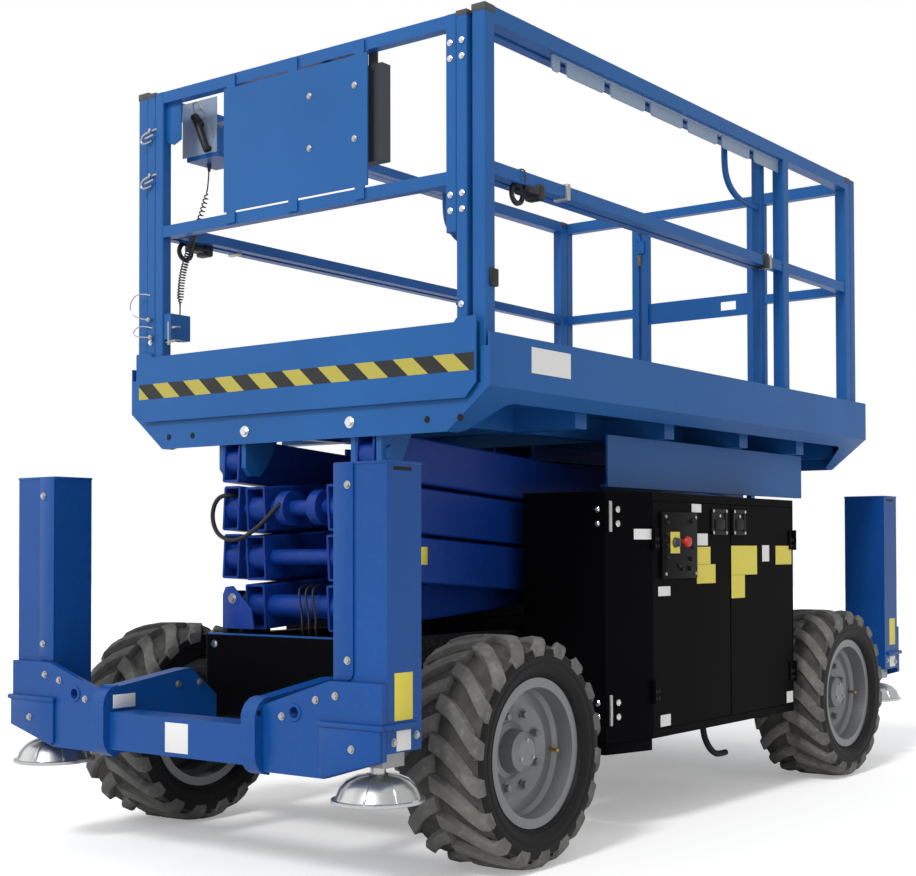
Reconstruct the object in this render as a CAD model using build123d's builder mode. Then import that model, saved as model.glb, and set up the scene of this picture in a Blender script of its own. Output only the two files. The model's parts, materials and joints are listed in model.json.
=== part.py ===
from build123d import *
import os
from math import asin, cos, degrees, hypot, radians, sin

os.makedirs("parts", exist_ok=True)

# A rough terrain scissor lift with outriggers and a roll-out deck, in millimetres.
# The front is towards -Y, the machine's right-hand side in the photo is +X and the ground is z = 0.

# Wheels and axles
wheelbase = 2300.0
axle_mid_y = -25.0
tyre_r = 350.0
tyre_width = 305.0
tyre_mid_x = 719.5
carcass_r = 320.0
lug_count = 18
lug_width = 40.0
lug_sweep = 20.0
bead_r = 205.0
rim_flange_r = 225.0
rim_wall = 9.0
rim_disc_x = 35.0
hub_bore_r = 45.05
spindle_r = 45.0
hub_r = 68.0
kingpin_x = 610.0
kingpin_r = 22.0
running_gap = 0.05
axle_depth = 110.0
axle_width = 100.0
knuckle_half = 60.0
knuckle_wall = 25.0
steer_arm_reach = 125.0

# Chassis
rail_out_x = 355.0
rail_in_x = 300.0
rail_low_z = 405.0
rail_top_z = 678.0
chassis_front_y = -1385.0
chassis_rear_y = 1385.0

# Outriggers
outrigger_y = 1731.0
column_x = 706.0
column_w = 190.0
column_d = 145.0
column_low_z = 411.0
column_top_z = 1200.0
column_wall = 8.0
leg_w = 120.0
leg_d = 90.0
leg_gap = 0.4
pad_r = 130.0
pad_rim_z = 266.0
pad_neck_r = 24.0
arm_face_y = 1825.0
lug_face_y = 1858.0
frame_low_z = 330.0
cross_beam_low_z = 345.0
cross_beam_top_z = 460.0
tie_hole_x = 480.0
tie_hole_z = 506.0
tie_hole_r = 16.0

# Scissor stack
levels = 3
arm_length = 2620.0
pitch = 162.0
top_angle = 62.17
arm_depth = 150.0
arm_wall = 8.0
arm_tail = 50.0
inner_in_x = 139.0
inner_out_x = 228.0
outer_in_x = 261.0
outer_out_x = 338.0
pivot_y = -1275.0
pivot_z = 775.0
pin_r = 28.0
boss_r = 46.0
cap_r = 42.0
cap_length = 6.0
brace_r = 38.0
brace_at = 1000.0
open_pivot_gap = 0.5
roller_r = 40.0
channel_half = 41.0
channel_wall = 8.0
channel_in_x = 350.0
channel_out_x = 405.0
channel_front_y = -110.0
channel_rear_y = 1400.0

# Lift cylinder
barrel_pin_at = 1900.0
rod_pin_at = 700.0
cylinder_pin_drop = 40.0
barrel_r = 48.0
rod_r = 30.0
eye_half = 40.0
eye_r = 52.0
cylinder_pin_r = 28.0

# Platform
deck_half = 797.5
deck_front_y = -1335.0
deck_rear_y = 1465.0
floor_z = 1455.0
floor_thick = 12.0
skirt_top_z = 1605.0
skirt_corner_z = 1445.0
skirt_low_z = 1315.0
skirt_flat_half = deck_half - 161.5
sheet = 6.0
upper_channel_in_x = 88.0

# Roll-out deck
extension_reach = 1520.0
extension_half = deck_half - 77.0
extension_floor_z = 1462.0
extension_rear_y = 650.0
toe_half = deck_half - 40.5
toe_top_z = 1640.0
toe_low_z = 1412.0
toe_gap = 8.0

# Guard rails
rail_tube = 50.0
mid_tube = 40.0
rail_x = deck_half - 47.5
rails_top_z = 2590.0
mid_rail_z = 2105.0
front_post_y = -1300.0
middle_post_y = 717.0
rear_post_y = 1335.0
gate_half = 300.0
gate_post_x = 332.0
extension_tube = 40.0
extension_rail_x = deck_half - 103.5
extension_post_y = -1316.0
extension_back_y = 625.0
extension_top_z = 2575.0

# Cabinets
cabinet_in_x = 405.3
cabinet_out_x = 800.0
cabinet_nose_x = 740.0
cabinet_front_y = -613.0
door_front_y = -405.0
cabinet_rear_y = 705.0
cabinet_low_z = 310.0
cabinet_top_z = 1155.0
cabinet_wall = 5.0
door_split_y = 167.0
door_gap = 4.0
door_thick = 30.0
door_low_z = 340.0
door_top_z = 1125.0
hinge_out = 8.0
hinge_r = 7.0

# Worked out from the sizes above
front_axle_y = axle_mid_y - wheelbase / 2
rear_axle_y = axle_mid_y + wheelbase / 2
rest_angle = degrees(asin(pitch / arm_length))
rest_cos = cos(radians(rest_angle))
rest_sin = sin(radians(rest_angle))
pivot_rear_y = pivot_y + arm_length * rest_cos
inner_mid_x = (inner_in_x + inner_out_x) / 2
outer_mid_x = (outer_in_x + outer_out_x) / 2
leg_low_z = pad_rim_z + 100.0


def save(part, name):
    part.label = name
    export_step(part, f"parts/{name}.step")


def block(x0, x1, y0, y1, z0, z1, mode=Mode.ADD):
    """A box between two corners, made in the part that is open."""
    with BuildSketch(Plane.XY.offset(min(z0, z1))) as outline:
        with Locations(((x0 + x1) / 2, (y0 + y1) / 2)):
            Rectangle(abs(x1 - x0), abs(y1 - y0))
    extrude(outline.sketch, amount=abs(z1 - z0), mode=mode)


def tube_x(x0, x1, y, z, radius, mode=Mode.ADD):
    """A round bar along X from x0 to x1."""
    with BuildSketch(Plane(origin=(min(x0, x1), y, z), x_dir=(0, 1, 0), z_dir=(1, 0, 0))) as outline:
        Circle(radius)
    extrude(outline.sketch, amount=abs(x1 - x0), mode=mode)


def plate_x(points, x0, x1, mode=Mode.ADD, corner=0.0):
    """A plate square to X, from an outline of (y, z) points."""
    with BuildSketch(Plane(origin=(min(x0, x1), 0, 0), x_dir=(0, 1, 0), z_dir=(1, 0, 0))) as outline:
        with BuildLine():
            Polyline(*points, close=True)
        make_face()
        if corner > 0:
            fillet(outline.vertices(), corner)
    extrude(outline.sketch, amount=abs(x1 - x0), mode=mode)


def plate_y(points, y0, y1, mode=Mode.ADD, corner=0.0):
    """A plate square to Y, from an outline of (x, z) points."""
    with BuildSketch(Plane(origin=(0, max(y0, y1), 0), x_dir=(1, 0, 0), z_dir=(0, -1, 0))) as outline:
        with BuildLine():
            Polyline(*points, close=True)
        make_face()
        if corner > 0:
            fillet(outline.vertices(), corner)
    extrude(outline.sketch, amount=abs(y1 - y0), mode=mode)


def plate_z(points, z0, z1, mode=Mode.ADD):
    """A flat plate from an outline of (x, y) points."""
    with BuildSketch(Plane.XY.offset(min(z0, z1))) as outline:
        with BuildLine():
            Polyline(*points, close=True)
        make_face()
    extrude(outline.sketch, amount=abs(z1 - z0), mode=mode)


def ring(points, mode=Mode.ADD):
    """A shape turned about X from an outline of (x, radius) points."""
    with BuildSketch(Plane.XY) as outline:
        with BuildLine():
            Polyline(*points, close=True)
        make_face()
    revolve(outline.sketch, axis=Axis.X, mode=mode)


# Tyre: a carcass turned about X with chevron lugs that meet at the middle, alternating side to side
tread_half = tyre_width / 2
lug_step = 360.0 / lug_count
lug_rise = tyre_r * radians(lug_sweep)
lugs = []
for side in (1, -1):
    with BuildPart() as lug:
        with BuildSketch(Plane.XY.offset(carcass_r - 12)):
            with BuildLine():
                Polyline(
                    (-side * 4, -lug_width / 2),
                    (side * tread_half * 0.5, lug_rise * 0.42 - lug_width / 2),
                    (side * tread_half, lug_rise - lug_width * 0.6),
                    (side * tread_half, lug_rise + lug_width * 0.5),
                    (side * tread_half * 0.45, lug_rise * 0.42 + lug_width * 0.45),
                    (-side * 4, lug_width / 2),
                    close=True,
                )
            make_face()
        extrude(amount=tyre_r - carcass_r + 12)
        ring(
            [
                (-tread_half, 0),
                (-tread_half, tyre_r - 30),
                (-tread_half * 0.9, tyre_r - 8),
                (-tread_half * 0.5, tyre_r),
                (tread_half * 0.5, tyre_r),
                (tread_half * 0.9, tyre_r - 8),
                (tread_half, tyre_r - 30),
                (tread_half, 0),
            ],
            mode=Mode.INTERSECT,
        )
    for count in range(lug_count):
        lugs.append(lug.part.rotate(Axis.X, (count + (side - 1) / 4) * lug_step))

with BuildPart() as tyre:
    ring(
        [
            (-117.7, bead_r + 0.3),
            (-117.7, 230),
            (-tread_half * 0.985, 262),
            (-tread_half * 0.985, 292),
            (-tread_half * 0.9, 308),
            (-tread_half * 0.45, carcass_r - 2),
            (tread_half * 0.45, carcass_r - 2),
            (tread_half * 0.9, 308),
            (tread_half * 0.985, 292),
            (tread_half * 0.985, 262),
            (117.7, 230),
            (117.7, bead_r + 0.3),
        ]
    )
    add(lugs)

with BuildPart() as rim:
    ring(
        [
            (-128, rim_flange_r),
            (-118, rim_flange_r),
            (-118, bead_r),
            (-70, bead_r - 3),
            (-50, bead_r - 20),
            (50, bead_r - 20),
            (70, bead_r - 3),
            (118, bead_r),
            (118, rim_flange_r),
            (128, rim_flange_r),
            (128, bead_r - rim_wall),
            (74, bead_r - 3 - rim_wall),
            (54, bead_r - 20 - rim_wall),
            (-54, bead_r - 20 - rim_wall),
            (-74, bead_r - 3 - rim_wall),
            (-128, bead_r - rim_wall),
        ]
    )
    ring(
        [
            (rim_disc_x - 14, hub_bore_r),
            (rim_disc_x - 14, 90),
            (rim_disc_x + 14, 150),
            (rim_disc_x + 14, bead_r - 24),
            (rim_disc_x + 26, bead_r - 24),
            (rim_disc_x + 26, 146),
            (rim_disc_x - 2, 86),
            (rim_disc_x + 4, hub_r),
            (rim_disc_x + 48, hub_r - 6),
            (rim_disc_x + 60, hub_r - 26),
            (rim_disc_x + 62, 0),
            (rim_disc_x + 50, 0),
            (rim_disc_x + 50, hub_bore_r),
        ]
    )

wheel_places = {
    "front_left": (-1, front_axle_y),
    "front_right": (1, front_axle_y),
    "rear_left": (-1, rear_axle_y),
    "rear_right": (1, rear_axle_y),
}
for place, (side, axle_y) in wheel_places.items():
    spot = Location((side * tyre_mid_x, axle_y, tyre_r))
    face = tyre.part if side > 0 else mirror(tyre.part, about=Plane.YZ)
    with BuildPart() as wheel_tyre:
        add(face.moved(spot))
    save(wheel_tyre.part, f"tyre_{place}")
    face = rim.part if side > 0 else mirror(rim.part, about=Plane.YZ)
    with BuildPart() as wheel_rim:
        add(face.moved(spot))
    save(wheel_rim.part, f"rim_{place}")

# Steering knuckles: a fork round the axle's kingpin boss and a spindle for the hub
spindle_end_x = tyre_mid_x + rim_disc_x + 46
for side, place in ((-1, "left"), (1, "right")):
    with BuildPart() as knuckle:
        back_x = kingpin_x + knuckle_half
        block(side * back_x, side * (back_x + 22), front_axle_y - 62, front_axle_y + 62, tyre_r - 98, tyre_r + 98)
        for low in (tyre_r - 98, tyre_r + 98 - knuckle_wall):
            block(side * kingpin_x, side * back_x, front_axle_y - 48, front_axle_y + 48, low, low + knuckle_wall)
            with BuildSketch(Plane.XY.offset(low)):
                with Locations((side * kingpin_x, front_axle_y)):
                    Circle(48)
            extrude(amount=knuckle_wall)
        with BuildSketch(Plane.XY.offset(tyre_r - 98)):
            with Locations((side * kingpin_x, front_axle_y)):
                Circle(kingpin_r)
        extrude(amount=196)
        tube_x(side * (back_x + 22), side * spindle_end_x, front_axle_y, tyre_r, spindle_r)
        plate_z(
            [
                (side * (kingpin_x - 34), front_axle_y + 30),
                (side * (kingpin_x - 22), front_axle_y + steer_arm_reach + 18),
                (side * (kingpin_x + 22), front_axle_y + steer_arm_reach + 18),
                (side * (kingpin_x + 34), front_axle_y + 30),
            ],
            tyre_r - 98,
            tyre_r - 98 + knuckle_wall,
        )
        with BuildSketch(Plane.XY.offset(tyre_r - 98)):
            with Locations((side * kingpin_x, front_axle_y + steer_arm_reach)):
                Circle(10)
        extrude(amount=66)
    save(knuckle.part, f"knuckle_{place}")

# Front axle: a box beam with a kingpin boss at each end and the steering cylinder behind it
steer_z = tyre_r - 49
with BuildPart() as front_axle:
    block(-kingpin_x, kingpin_x, front_axle_y - axle_width / 2, front_axle_y + axle_width / 2,
          tyre_r - axle_depth / 2, tyre_r + axle_depth / 2)
    with BuildSketch(Plane.XY.offset(tyre_r - 72)):
        with Locations((-kingpin_x, front_axle_y), (kingpin_x, front_axle_y)):
            Circle(46)
    extrude(amount=144)
    with BuildSketch(Plane.XY.offset(tyre_r - 72)):
        with Locations((-kingpin_x, front_axle_y), (kingpin_x, front_axle_y)):
            Circle(kingpin_r + running_gap)
    extrude(amount=144, mode=Mode.SUBTRACT)
    steer_y = front_axle_y + steer_arm_reach
    tube_x(-230, 230, steer_y, steer_z, 34)
    for x in (-200, 170):
        block(x, x + 30, front_axle_y + axle_width / 2, steer_y, steer_z - 20, steer_z + 24)
    tube_x(-230, 230, steer_y, steer_z, 18 + running_gap, mode=Mode.SUBTRACT)
save(front_axle.part, "front_axle")

# Steering rod: slides through the cylinder, with a slotted fork end over each steering arm's pin
with BuildPart() as steering_rod:
    fork_x = kingpin_x - 40
    tube_x(-fork_x, fork_x, steer_y, steer_z, 18)
    for side in (-1, 1):
        block(side * (fork_x - 6), side * (kingpin_x + 28), steer_y - 52, steer_y + 20, steer_z + 1, steer_z + 13)
        block(side * (kingpin_x - 18), side * (kingpin_x + 18), steer_y - 42, steer_y + 14,
              steer_z - 20, steer_z + 20, mode=Mode.SUBTRACT)
save(steering_rod.part, "steering_rod")

# Rear axle: a box beam with a flange and a spindle at each end
with BuildPart() as rear_axle:
    block(-600, 600, rear_axle_y - axle_width / 2, rear_axle_y + axle_width / 2,
          tyre_r - axle_depth / 2, tyre_r + axle_depth / 2)
    tube_x(-120, 120, rear_axle_y, tyre_r, 105)
    for side in (-1, 1):
        tube_x(side * 600, side * (kingpin_x + knuckle_half), rear_axle_y, tyre_r, 86)
        tube_x(side * (kingpin_x + knuckle_half), side * spindle_end_x, rear_axle_y, tyre_r, spindle_r)
save(rear_axle.part, "rear_axle")

# Chassis frame: side rails, cross members, front pivot ears and the lower roller channels
ear_out_x = outer_out_x - 6
ear_low_z = rail_top_z - 40


def roller_channel(side, open_x, web_x, mid_z, y0, y1):
    """A channel with its open side at open_x and its web at web_x."""
    block(side * open_x, side * web_x, y0, y1, mid_z - channel_half - channel_wall, mid_z - channel_half)
    block(side * open_x, side * web_x, y0, y1, mid_z + channel_half, mid_z + channel_half + channel_wall)
    web_side = web_x - channel_wall if web_x > open_x else web_x + channel_wall
    block(side * web_side, side * web_x, y0, y1, mid_z - channel_half, mid_z + channel_half)


with BuildPart() as chassis:
    for side in (-1, 1):
        block(side * rail_in_x, side * rail_out_x, chassis_front_y, chassis_rear_y, rail_low_z, rail_top_z)
        for ear_x in (inner_out_x + 6, ear_out_x - 20):
            plate_x(
                [
                    (pivot_y - 62, ear_low_z),
                    (pivot_y - 48, pivot_z + 20),
                    (pivot_y - 26, pivot_z + 48),
                    (pivot_y + 26, pivot_z + 48),
                    (pivot_y + 48, pivot_z + 20),
                    (pivot_y + 80, ear_low_z),
                ],
                side * ear_x,
                side * (ear_x + 20),
            )
        tube_x(side * (inner_in_x + 4), side * (ear_out_x + 6), pivot_y, pivot_z, pin_r)
        roller_channel(side, channel_in_x, channel_out_x, pivot_z, channel_front_y, channel_rear_y)
        block(side * channel_in_x, side * (channel_in_x + 12), channel_front_y, channel_rear_y,
              rail_top_z - 60, pivot_z - channel_half - channel_wall)
    for y in (chassis_front_y + 8, pivot_y - 62, -420.0, 380.0, chassis_rear_y - 82):
        block(-rail_in_x, rail_in_x, y, y + 82, rail_low_z + 30, rail_top_z - 40)
    block(-rail_in_x, rail_in_x, -900, 900, rail_low_z, rail_low_z + 8)
    for y in (cabinet_front_y + 50, cabinet_rear_y - 130):
        for side in (-1, 1):
            block(side * rail_in_x, side * (cabinet_nose_x - 20), y, y + 80, cabinet_low_z - 25, cabinet_low_z - 0.3)
            block(side * rail_in_x, side * rail_out_x, y, y + 80, cabinet_low_z - 0.3, rail_low_z)
save(chassis.part, "chassis_frame")

with BuildPart() as front_cover:
    cover_y = chassis_front_y - 0.3
    block(-345, 345, cover_y - 5, cover_y, rail_low_z + 8, rail_top_z + 0.3)
    block(-345, 345, cover_y - 5, cover_y + 44, rail_top_z + 0.3, rail_top_z + 5)
save(front_cover.part, "front_cover")

# Outrigger frames: cross beam, two arms back to the chassis, and a box column at each corner
for end, place, seat_y in ((-1, "front", cover_y - 5.3), (1, "rear", chassis_rear_y + 0.3)):
    with BuildPart() as outrigger:
        block(-rail_in_x, rail_in_x, end * 1735, end * (lug_face_y - 23), cross_beam_low_z, cross_beam_top_z)
        for side in (-1, 1):
            plate_x(
                [
                    (end * lug_face_y, frame_low_z + 40),
                    (end * lug_face_y, cross_beam_top_z + 35),
                    (end * (lug_face_y - 40), 535),
                    (end * 1527, 575),
                    (end * 1500, 575),
                    (seat_y, 480),
                    (seat_y, rail_low_z),
                    (end * 1560, frame_low_z),
                    (end * (lug_face_y - 40), frame_low_z),
                ],
                side * rail_in_x,
                side * rail_out_x,
            )
            plate_y(
                [
                    (side * rail_out_x, frame_low_z),
                    (side * rail_out_x, 520),
                    (side * (column_x - column_w / 2), 600),
                    (side * (column_x + column_w / 2), 600),
                    (side * (column_x + column_w / 2), column_low_z - 20),
                    (side * (column_x - column_w / 2 - 20), frame_low_z),
                ],
                end * arm_face_y,
                end * (arm_face_y - 20),
            )
            with BuildSketch(Plane(origin=(side * tie_hole_x, 0, tie_hole_z), x_dir=(1, 0, 0), z_dir=(0, -1, 0))):
                Circle(tie_hole_r)
            extrude(amount=2 * arm_face_y, both=True, mode=Mode.SUBTRACT)
            plate_y(
                [
                    (side * rail_out_x, frame_low_z + 20),
                    (side * rail_out_x, 478),
                    (side * (column_x - column_w / 2), 478),
                    (side * (column_x - column_w / 2), frame_low_z + 60),
                ],
                end * (outrigger_y - column_d / 2 + 4),
                end * (arm_face_y - 20),
            )
            with BuildSketch(Plane.XY.offset(column_low_z)):
                with Locations((side * column_x, end * outrigger_y)):
                    Rectangle(column_w, column_d)
            extrude(amount=column_top_z - column_low_z)
            with BuildSketch(Plane.XY.offset(column_low_z)):
                with Locations((side * column_x, end * outrigger_y)):
                    Rectangle(column_w - 2 * column_wall, column_d - 2 * column_wall)
            extrude(amount=column_top_z - column_low_z - column_wall, mode=Mode.SUBTRACT)
            with BuildSketch(Plane.XY.offset(column_low_z)):
                with Locations((side * column_x, end * outrigger_y)):
                    Rectangle(column_w - column_wall, column_d - column_wall)
                    Rectangle(leg_w + 2 * leg_gap, leg_d + 2 * leg_gap, mode=Mode.SUBTRACT)
            extrude(amount=70)
    save(outrigger.part, f"outrigger_frame_{place}")
    for side, hand in ((-1, "left"), (1, "right")):
        with BuildPart() as leg:
            with BuildSketch(Plane.XY.offset(leg_low_z)):
                with Locations((side * column_x, end * outrigger_y)):
                    RectangleRounded(leg_w, leg_d, 6)
            extrude(amount=column_top_z - column_wall - 20 - leg_low_z)
        save(leg.part, f"leg_{place}_{hand}")
        with BuildPart() as pad:
            with BuildSketch(Plane.XZ.offset(-end * outrigger_y)):
                with BuildLine():
                    Polyline(
                        (side * column_x, pad_rim_z + 58),
                        (side * column_x, leg_low_z - 0.3),
                        (side * column_x + pad_neck_r, leg_low_z - 0.3),
                        (side * column_x + pad_neck_r, pad_rim_z + 70),
                        (side * column_x + 48, pad_rim_z + 60),
                        (side * column_x + 96, pad_rim_z + 34),
                        (side * column_x + 112, pad_rim_z + 12),
                        (side * column_x + pad_r, pad_rim_z + 10),
                        (side * column_x + pad_r, pad_rim_z),
                        (side * column_x + 106, pad_rim_z),
                        (side * column_x + 88, pad_rim_z + 26),
                        (side * column_x + 42, pad_rim_z + 50),
                        close=True,
                    )
                make_face()
            revolve(axis=Axis((side * column_x, end * outrigger_y, 0), (0, 0, 1)))
        save(pad.part, f"pad_{place}_{hand}")


# Scissor arms: box tubes with sleeves at their pins, paired left and right
def arm_point(level, along, above=0.0, inner=True):
    """The (y, z) of a point on an arm of a level, at rest, along it from its front pivot."""
    if inner:
        return (
            pivot_y + along * rest_cos - above * rest_sin,
            pivot_z + level * pitch + along * rest_sin + above * rest_cos,
        )
    return (
        pivot_y + along * rest_cos + above * rest_sin,
        pivot_z + (level + 1) * pitch - along * rest_sin + above * rest_cos,
    )


def arm_tube(side, level, in_x, out_x, inner):
    slope = rest_sin if inner else -rest_sin
    y0, z0 = arm_point(level, -arm_tail, inner=inner)
    start = Plane(origin=(side * (in_x + out_x) / 2, y0, z0), x_dir=(1, 0, 0), z_dir=(0, rest_cos, slope))
    with BuildSketch(start) as outline:
        RectangleRounded(out_x - in_x, arm_depth, 9)
        Rectangle(out_x - in_x - 2 * arm_wall, arm_depth - 2 * arm_wall, mode=Mode.SUBTRACT)
    extrude(outline.sketch, amount=arm_length + 2 * arm_tail)
    for along in (0, arm_length / 2, arm_length):
        y, z = arm_point(level, along, inner=inner)
        tube_x(side * in_x, side * out_x, y, z, boss_r)


cap_x = outer_out_x + 0.3
for level in range(levels):
    with BuildPart() as inner_arm:
        for side in (-1, 1):
            arm_tube(side, level, inner_in_x, inner_out_x, True)
        braces = [(0, 0), (arm_length, 0), (barrel_pin_at, 0)]
        if level == 0:
            braces = [(0, 0), (brace_at, 0), (arm_length, 0)]
        if level == levels - 1:
            braces = [(0, 0), (brace_at, 0)]
        for along, above in braces:
            y, z = arm_point(level, along, above)
            tube_x(-inner_in_x, inner_in_x, y, z, brace_r if along or level == 0 else 26)
        if level == 0:
            y, z = arm_point(0, 0)
            for side in (-1, 1):
                tube_x(side * inner_in_x, side * inner_out_x, y, z, pin_r + running_gap, mode=Mode.SUBTRACT)
            y, z = arm_point(0, barrel_pin_at, -cylinder_pin_drop)
            tube_x(-inner_in_x, inner_in_x, y, z, cylinder_pin_r)
            for side in (-1, 1):
                tube_x(side * (eye_half + 3), side * inner_in_x, y, z, 34)
        if level == 1:
            y, z = arm_point(1, rod_pin_at, cylinder_pin_drop)
            for side in (-1, 1):
                tube_x(side * (eye_half + 5), side * inner_in_x, y, z, 34)
                tube_x(side * (eye_half + 5), side * (eye_half + 17), y, z, 52)
        if level == levels - 1:
            y, z = arm_point(level, 0)
            for side in (-1, 1):
                tube_x(side * 52, side * 92, y, z, 58)
        for side in (-1, 1):
            places = [arm_length / 2]
            if level > 0:
                places.append(0)
            if level < levels - 1:
                places.append(arm_length)
            for along in places:
                y, z = arm_point(level, along)
                radius = pin_r - open_pivot_gap if along == arm_length else pin_r
                tube_x(side * inner_out_x, side * cap_x, y, z, radius)
                tube_x(side * cap_x, side * (cap_x + cap_length), y, z, cap_r)
        if level == levels - 1:
            y, z = arm_point(level, arm_length)
            for side in (-1, 1):
                tube_x(side * (upper_channel_in_x + channel_wall + 3), side * inner_in_x, y, z, 20)
                tube_x(side * (upper_channel_in_x + channel_wall + 3), side * (inner_in_x - 6), y, z, roller_r)
    save(inner_arm.part, f"scissor_inner_{level + 1}")

    with BuildPart() as outer_arm:
        for side in (-1, 1):
            arm_tube(side, level, outer_in_x, outer_out_x, False)
            for along in (0, arm_length / 2, arm_length):
                if level == 0 and along == arm_length:
                    continue
                y, z = arm_point(level, along, inner=False)
                tube_x(side * outer_in_x, side * outer_out_x, y, z, pin_r + running_gap, mode=Mode.SUBTRACT)
            if level == 0:
                y, z = arm_point(level, arm_length, inner=False)
                tube_x(side * outer_out_x, side * (channel_out_x - channel_wall - 4), y, z, 20)
                tube_x(side * (channel_in_x + 3), side * (channel_out_x - channel_wall - 4), y, z, roller_r)
    save(outer_arm.part, f"scissor_outer_{level + 1}")

# Lift cylinder: a ram in a barrel, its foot on the lower inner arms and its eye at the next level
foot_y, foot_z = arm_point(0, barrel_pin_at, -cylinder_pin_drop)
head_y, head_z = arm_point(1, rod_pin_at, cylinder_pin_drop)
cylinder_length = hypot(head_y - foot_y, head_z - foot_z)
ram_dir = (0, (head_y - foot_y) / cylinder_length, (head_z - foot_z) / cylinder_length)


def along_ram(distance):
    return Plane(
        origin=(0, foot_y + ram_dir[1] * distance, foot_z + ram_dir[2] * distance),
        x_dir=(1, 0, 0),
        z_dir=ram_dir,
    )


barrel_end = cylinder_length - 110.0
with BuildPart() as barrel:
    with BuildSketch(along_ram(30)):
        Circle(eye_half)
    extrude(amount=60)
    with BuildSketch(along_ram(80)):
        Circle(barrel_r)
    extrude(amount=barrel_end - 80)
    with BuildSketch(along_ram(barrel_end - 50)):
        Circle(barrel_r + 7)
    extrude(amount=50)
    tube_x(-eye_half, eye_half, foot_y, foot_z, eye_r)
    tube_x(-eye_half, eye_half, foot_y, foot_z, cylinder_pin_r + running_gap, mode=Mode.SUBTRACT)
    with BuildSketch(along_ram(110)):
        Circle(rod_r + running_gap)
    extrude(amount=barrel_end, mode=Mode.SUBTRACT)
save(barrel.part, "cylinder_barrel")
with BuildPart() as ram:
    with BuildSketch(along_ram(120)):
        Circle(rod_r)
    extrude(amount=cylinder_length - 120)
    tube_x(-eye_half, eye_half, head_y, head_z, eye_r)
save(ram.part, "cylinder_rod")

# Platform: floor with side skirts, end plates and slanted flanges
flange_run = hypot(deck_half - skirt_flat_half, skirt_corner_z - skirt_low_z)
flange_tilt = ((deck_half - skirt_flat_half) / flange_run, (skirt_corner_z - skirt_low_z) / flange_run)
flange_narrow = 62.0
with BuildPart() as deck:
    block(-deck_half, deck_half, deck_front_y, deck_rear_y, floor_z - floor_thick, floor_z)
    for side in (-1, 1):
        block(side * (deck_half - sheet), side * deck_half, deck_front_y, deck_rear_y, skirt_corner_z - 2, skirt_top_z)
        slant = Plane(
            origin=(side * deck_half, 0, skirt_corner_z),
            x_dir=(0, 1, 0),
            z_dir=(side * flange_tilt[1], 0, -flange_tilt[0]),
        )
        with BuildSketch(slant):
            with BuildLine():
                Polyline(
                    (deck_front_y, 0),
                    (deck_front_y, -side * flange_run),
                    (deck_front_y + 50, -side * flange_run),
                    (deck_front_y + 85, -side * (0.9 * flange_run + 0.1 * flange_narrow)),
                    (deck_front_y + 155, -side * (0.1 * flange_run + 0.9 * flange_narrow)),
                    (deck_front_y + 190, -side * flange_narrow),
                    (deck_rear_y - 190, -side * flange_narrow),
                    (deck_rear_y - 155, -side * (0.1 * flange_run + 0.9 * flange_narrow)),
                    (deck_rear_y - 85, -side * (0.9 * flange_run + 0.1 * flange_narrow)),
                    (deck_rear_y - 50, -side * flange_run),
                    (deck_rear_y, -side * flange_run),
                    (deck_rear_y, 0),
                    close=True,
                )
            make_face()
        extrude(amount=-sheet)
    for y in (deck_front_y, deck_rear_y - sheet):
        front = y < 0
        plate_y(
            [
                (-deck_half, skirt_top_z - (42 if front else 0)),
                (-deck_half, skirt_corner_z),
                (-skirt_flat_half, skirt_low_z),
                (skirt_flat_half, skirt_low_z),
                (deck_half, skirt_corner_z),
                (deck_half, skirt_top_z - (42 if front else 0)),
                (deck_half - 34, skirt_top_z - (42 if front else 0)),
                (deck_half - 34, floor_z),
                (-deck_half + 34, floor_z),
                (-deck_half + 34, skirt_top_z - (42 if front else 0)),
            ],
            y,
            y + sheet,
        )
    block(-gate_half - 60, -deck_half, deck_rear_y - sheet, deck_rear_y, floor_z, skirt_top_z)
    block(gate_half + 60, deck_half, deck_rear_y - sheet, deck_rear_y, floor_z, skirt_top_z)
save(deck.part, "platform_deck")

# Underframe: long beams, cross beams, front pivot ears and the upper roller channels
top_pivot_z = pivot_z + levels * pitch
beam_low_z = 1363.0
beam_top_z = floor_z - floor_thick
with BuildPart() as underframe:
    for y in (deck_front_y + 12, -700.0, -110.0, 480.0, 1000.0, deck_rear_y - 90):
        block(-deck_half + 118, deck_half - 118, y, y + 70, beam_low_z, beam_top_z)
    for side in (-1, 1):
        block(side * 375, side * 425, deck_front_y + 12, deck_rear_y - 20, beam_low_z, beam_top_z)
        for ear_x in (inner_out_x + 8, outer_out_x + 5):
            plate_x(
                [
                    (pivot_y - 45, beam_low_z + 20),
                    (pivot_y - 45, top_pivot_z - 25),
                    (pivot_y - 22, top_pivot_z - 52),
                    (pivot_y + 22, top_pivot_z - 52),
                    (pivot_y + 60, top_pivot_z - 15),
                    (pivot_y + 120, beam_low_z),
                    (pivot_y + 120, beam_low_z + 20),
                ],
                side * ear_x,
                side * (ear_x + 20),
            )
        block(side * (inner_out_x + 8), side * 425, pivot_y + 22, pivot_y + 120, beam_low_z, beam_top_z)
        tube_x(side * (inner_out_x + 8), side * (outer_out_x + 31), pivot_y, top_pivot_z, pin_r)
save(underframe.part, "platform_underframe")

# Upper roller guides and the side plates, hung under the cross beams
with BuildPart() as guides:
    for side in (-1, 1):
        roller_channel(side, inner_in_x - 5, upper_channel_in_x, top_pivot_z, channel_front_y, channel_rear_y)
        block(side * upper_channel_in_x, side * (upper_channel_in_x + 12), channel_front_y, channel_rear_y,
              top_pivot_z + channel_half + channel_wall, beam_low_z - 0.3)
save(guides.part, "roller_guides")

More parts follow.
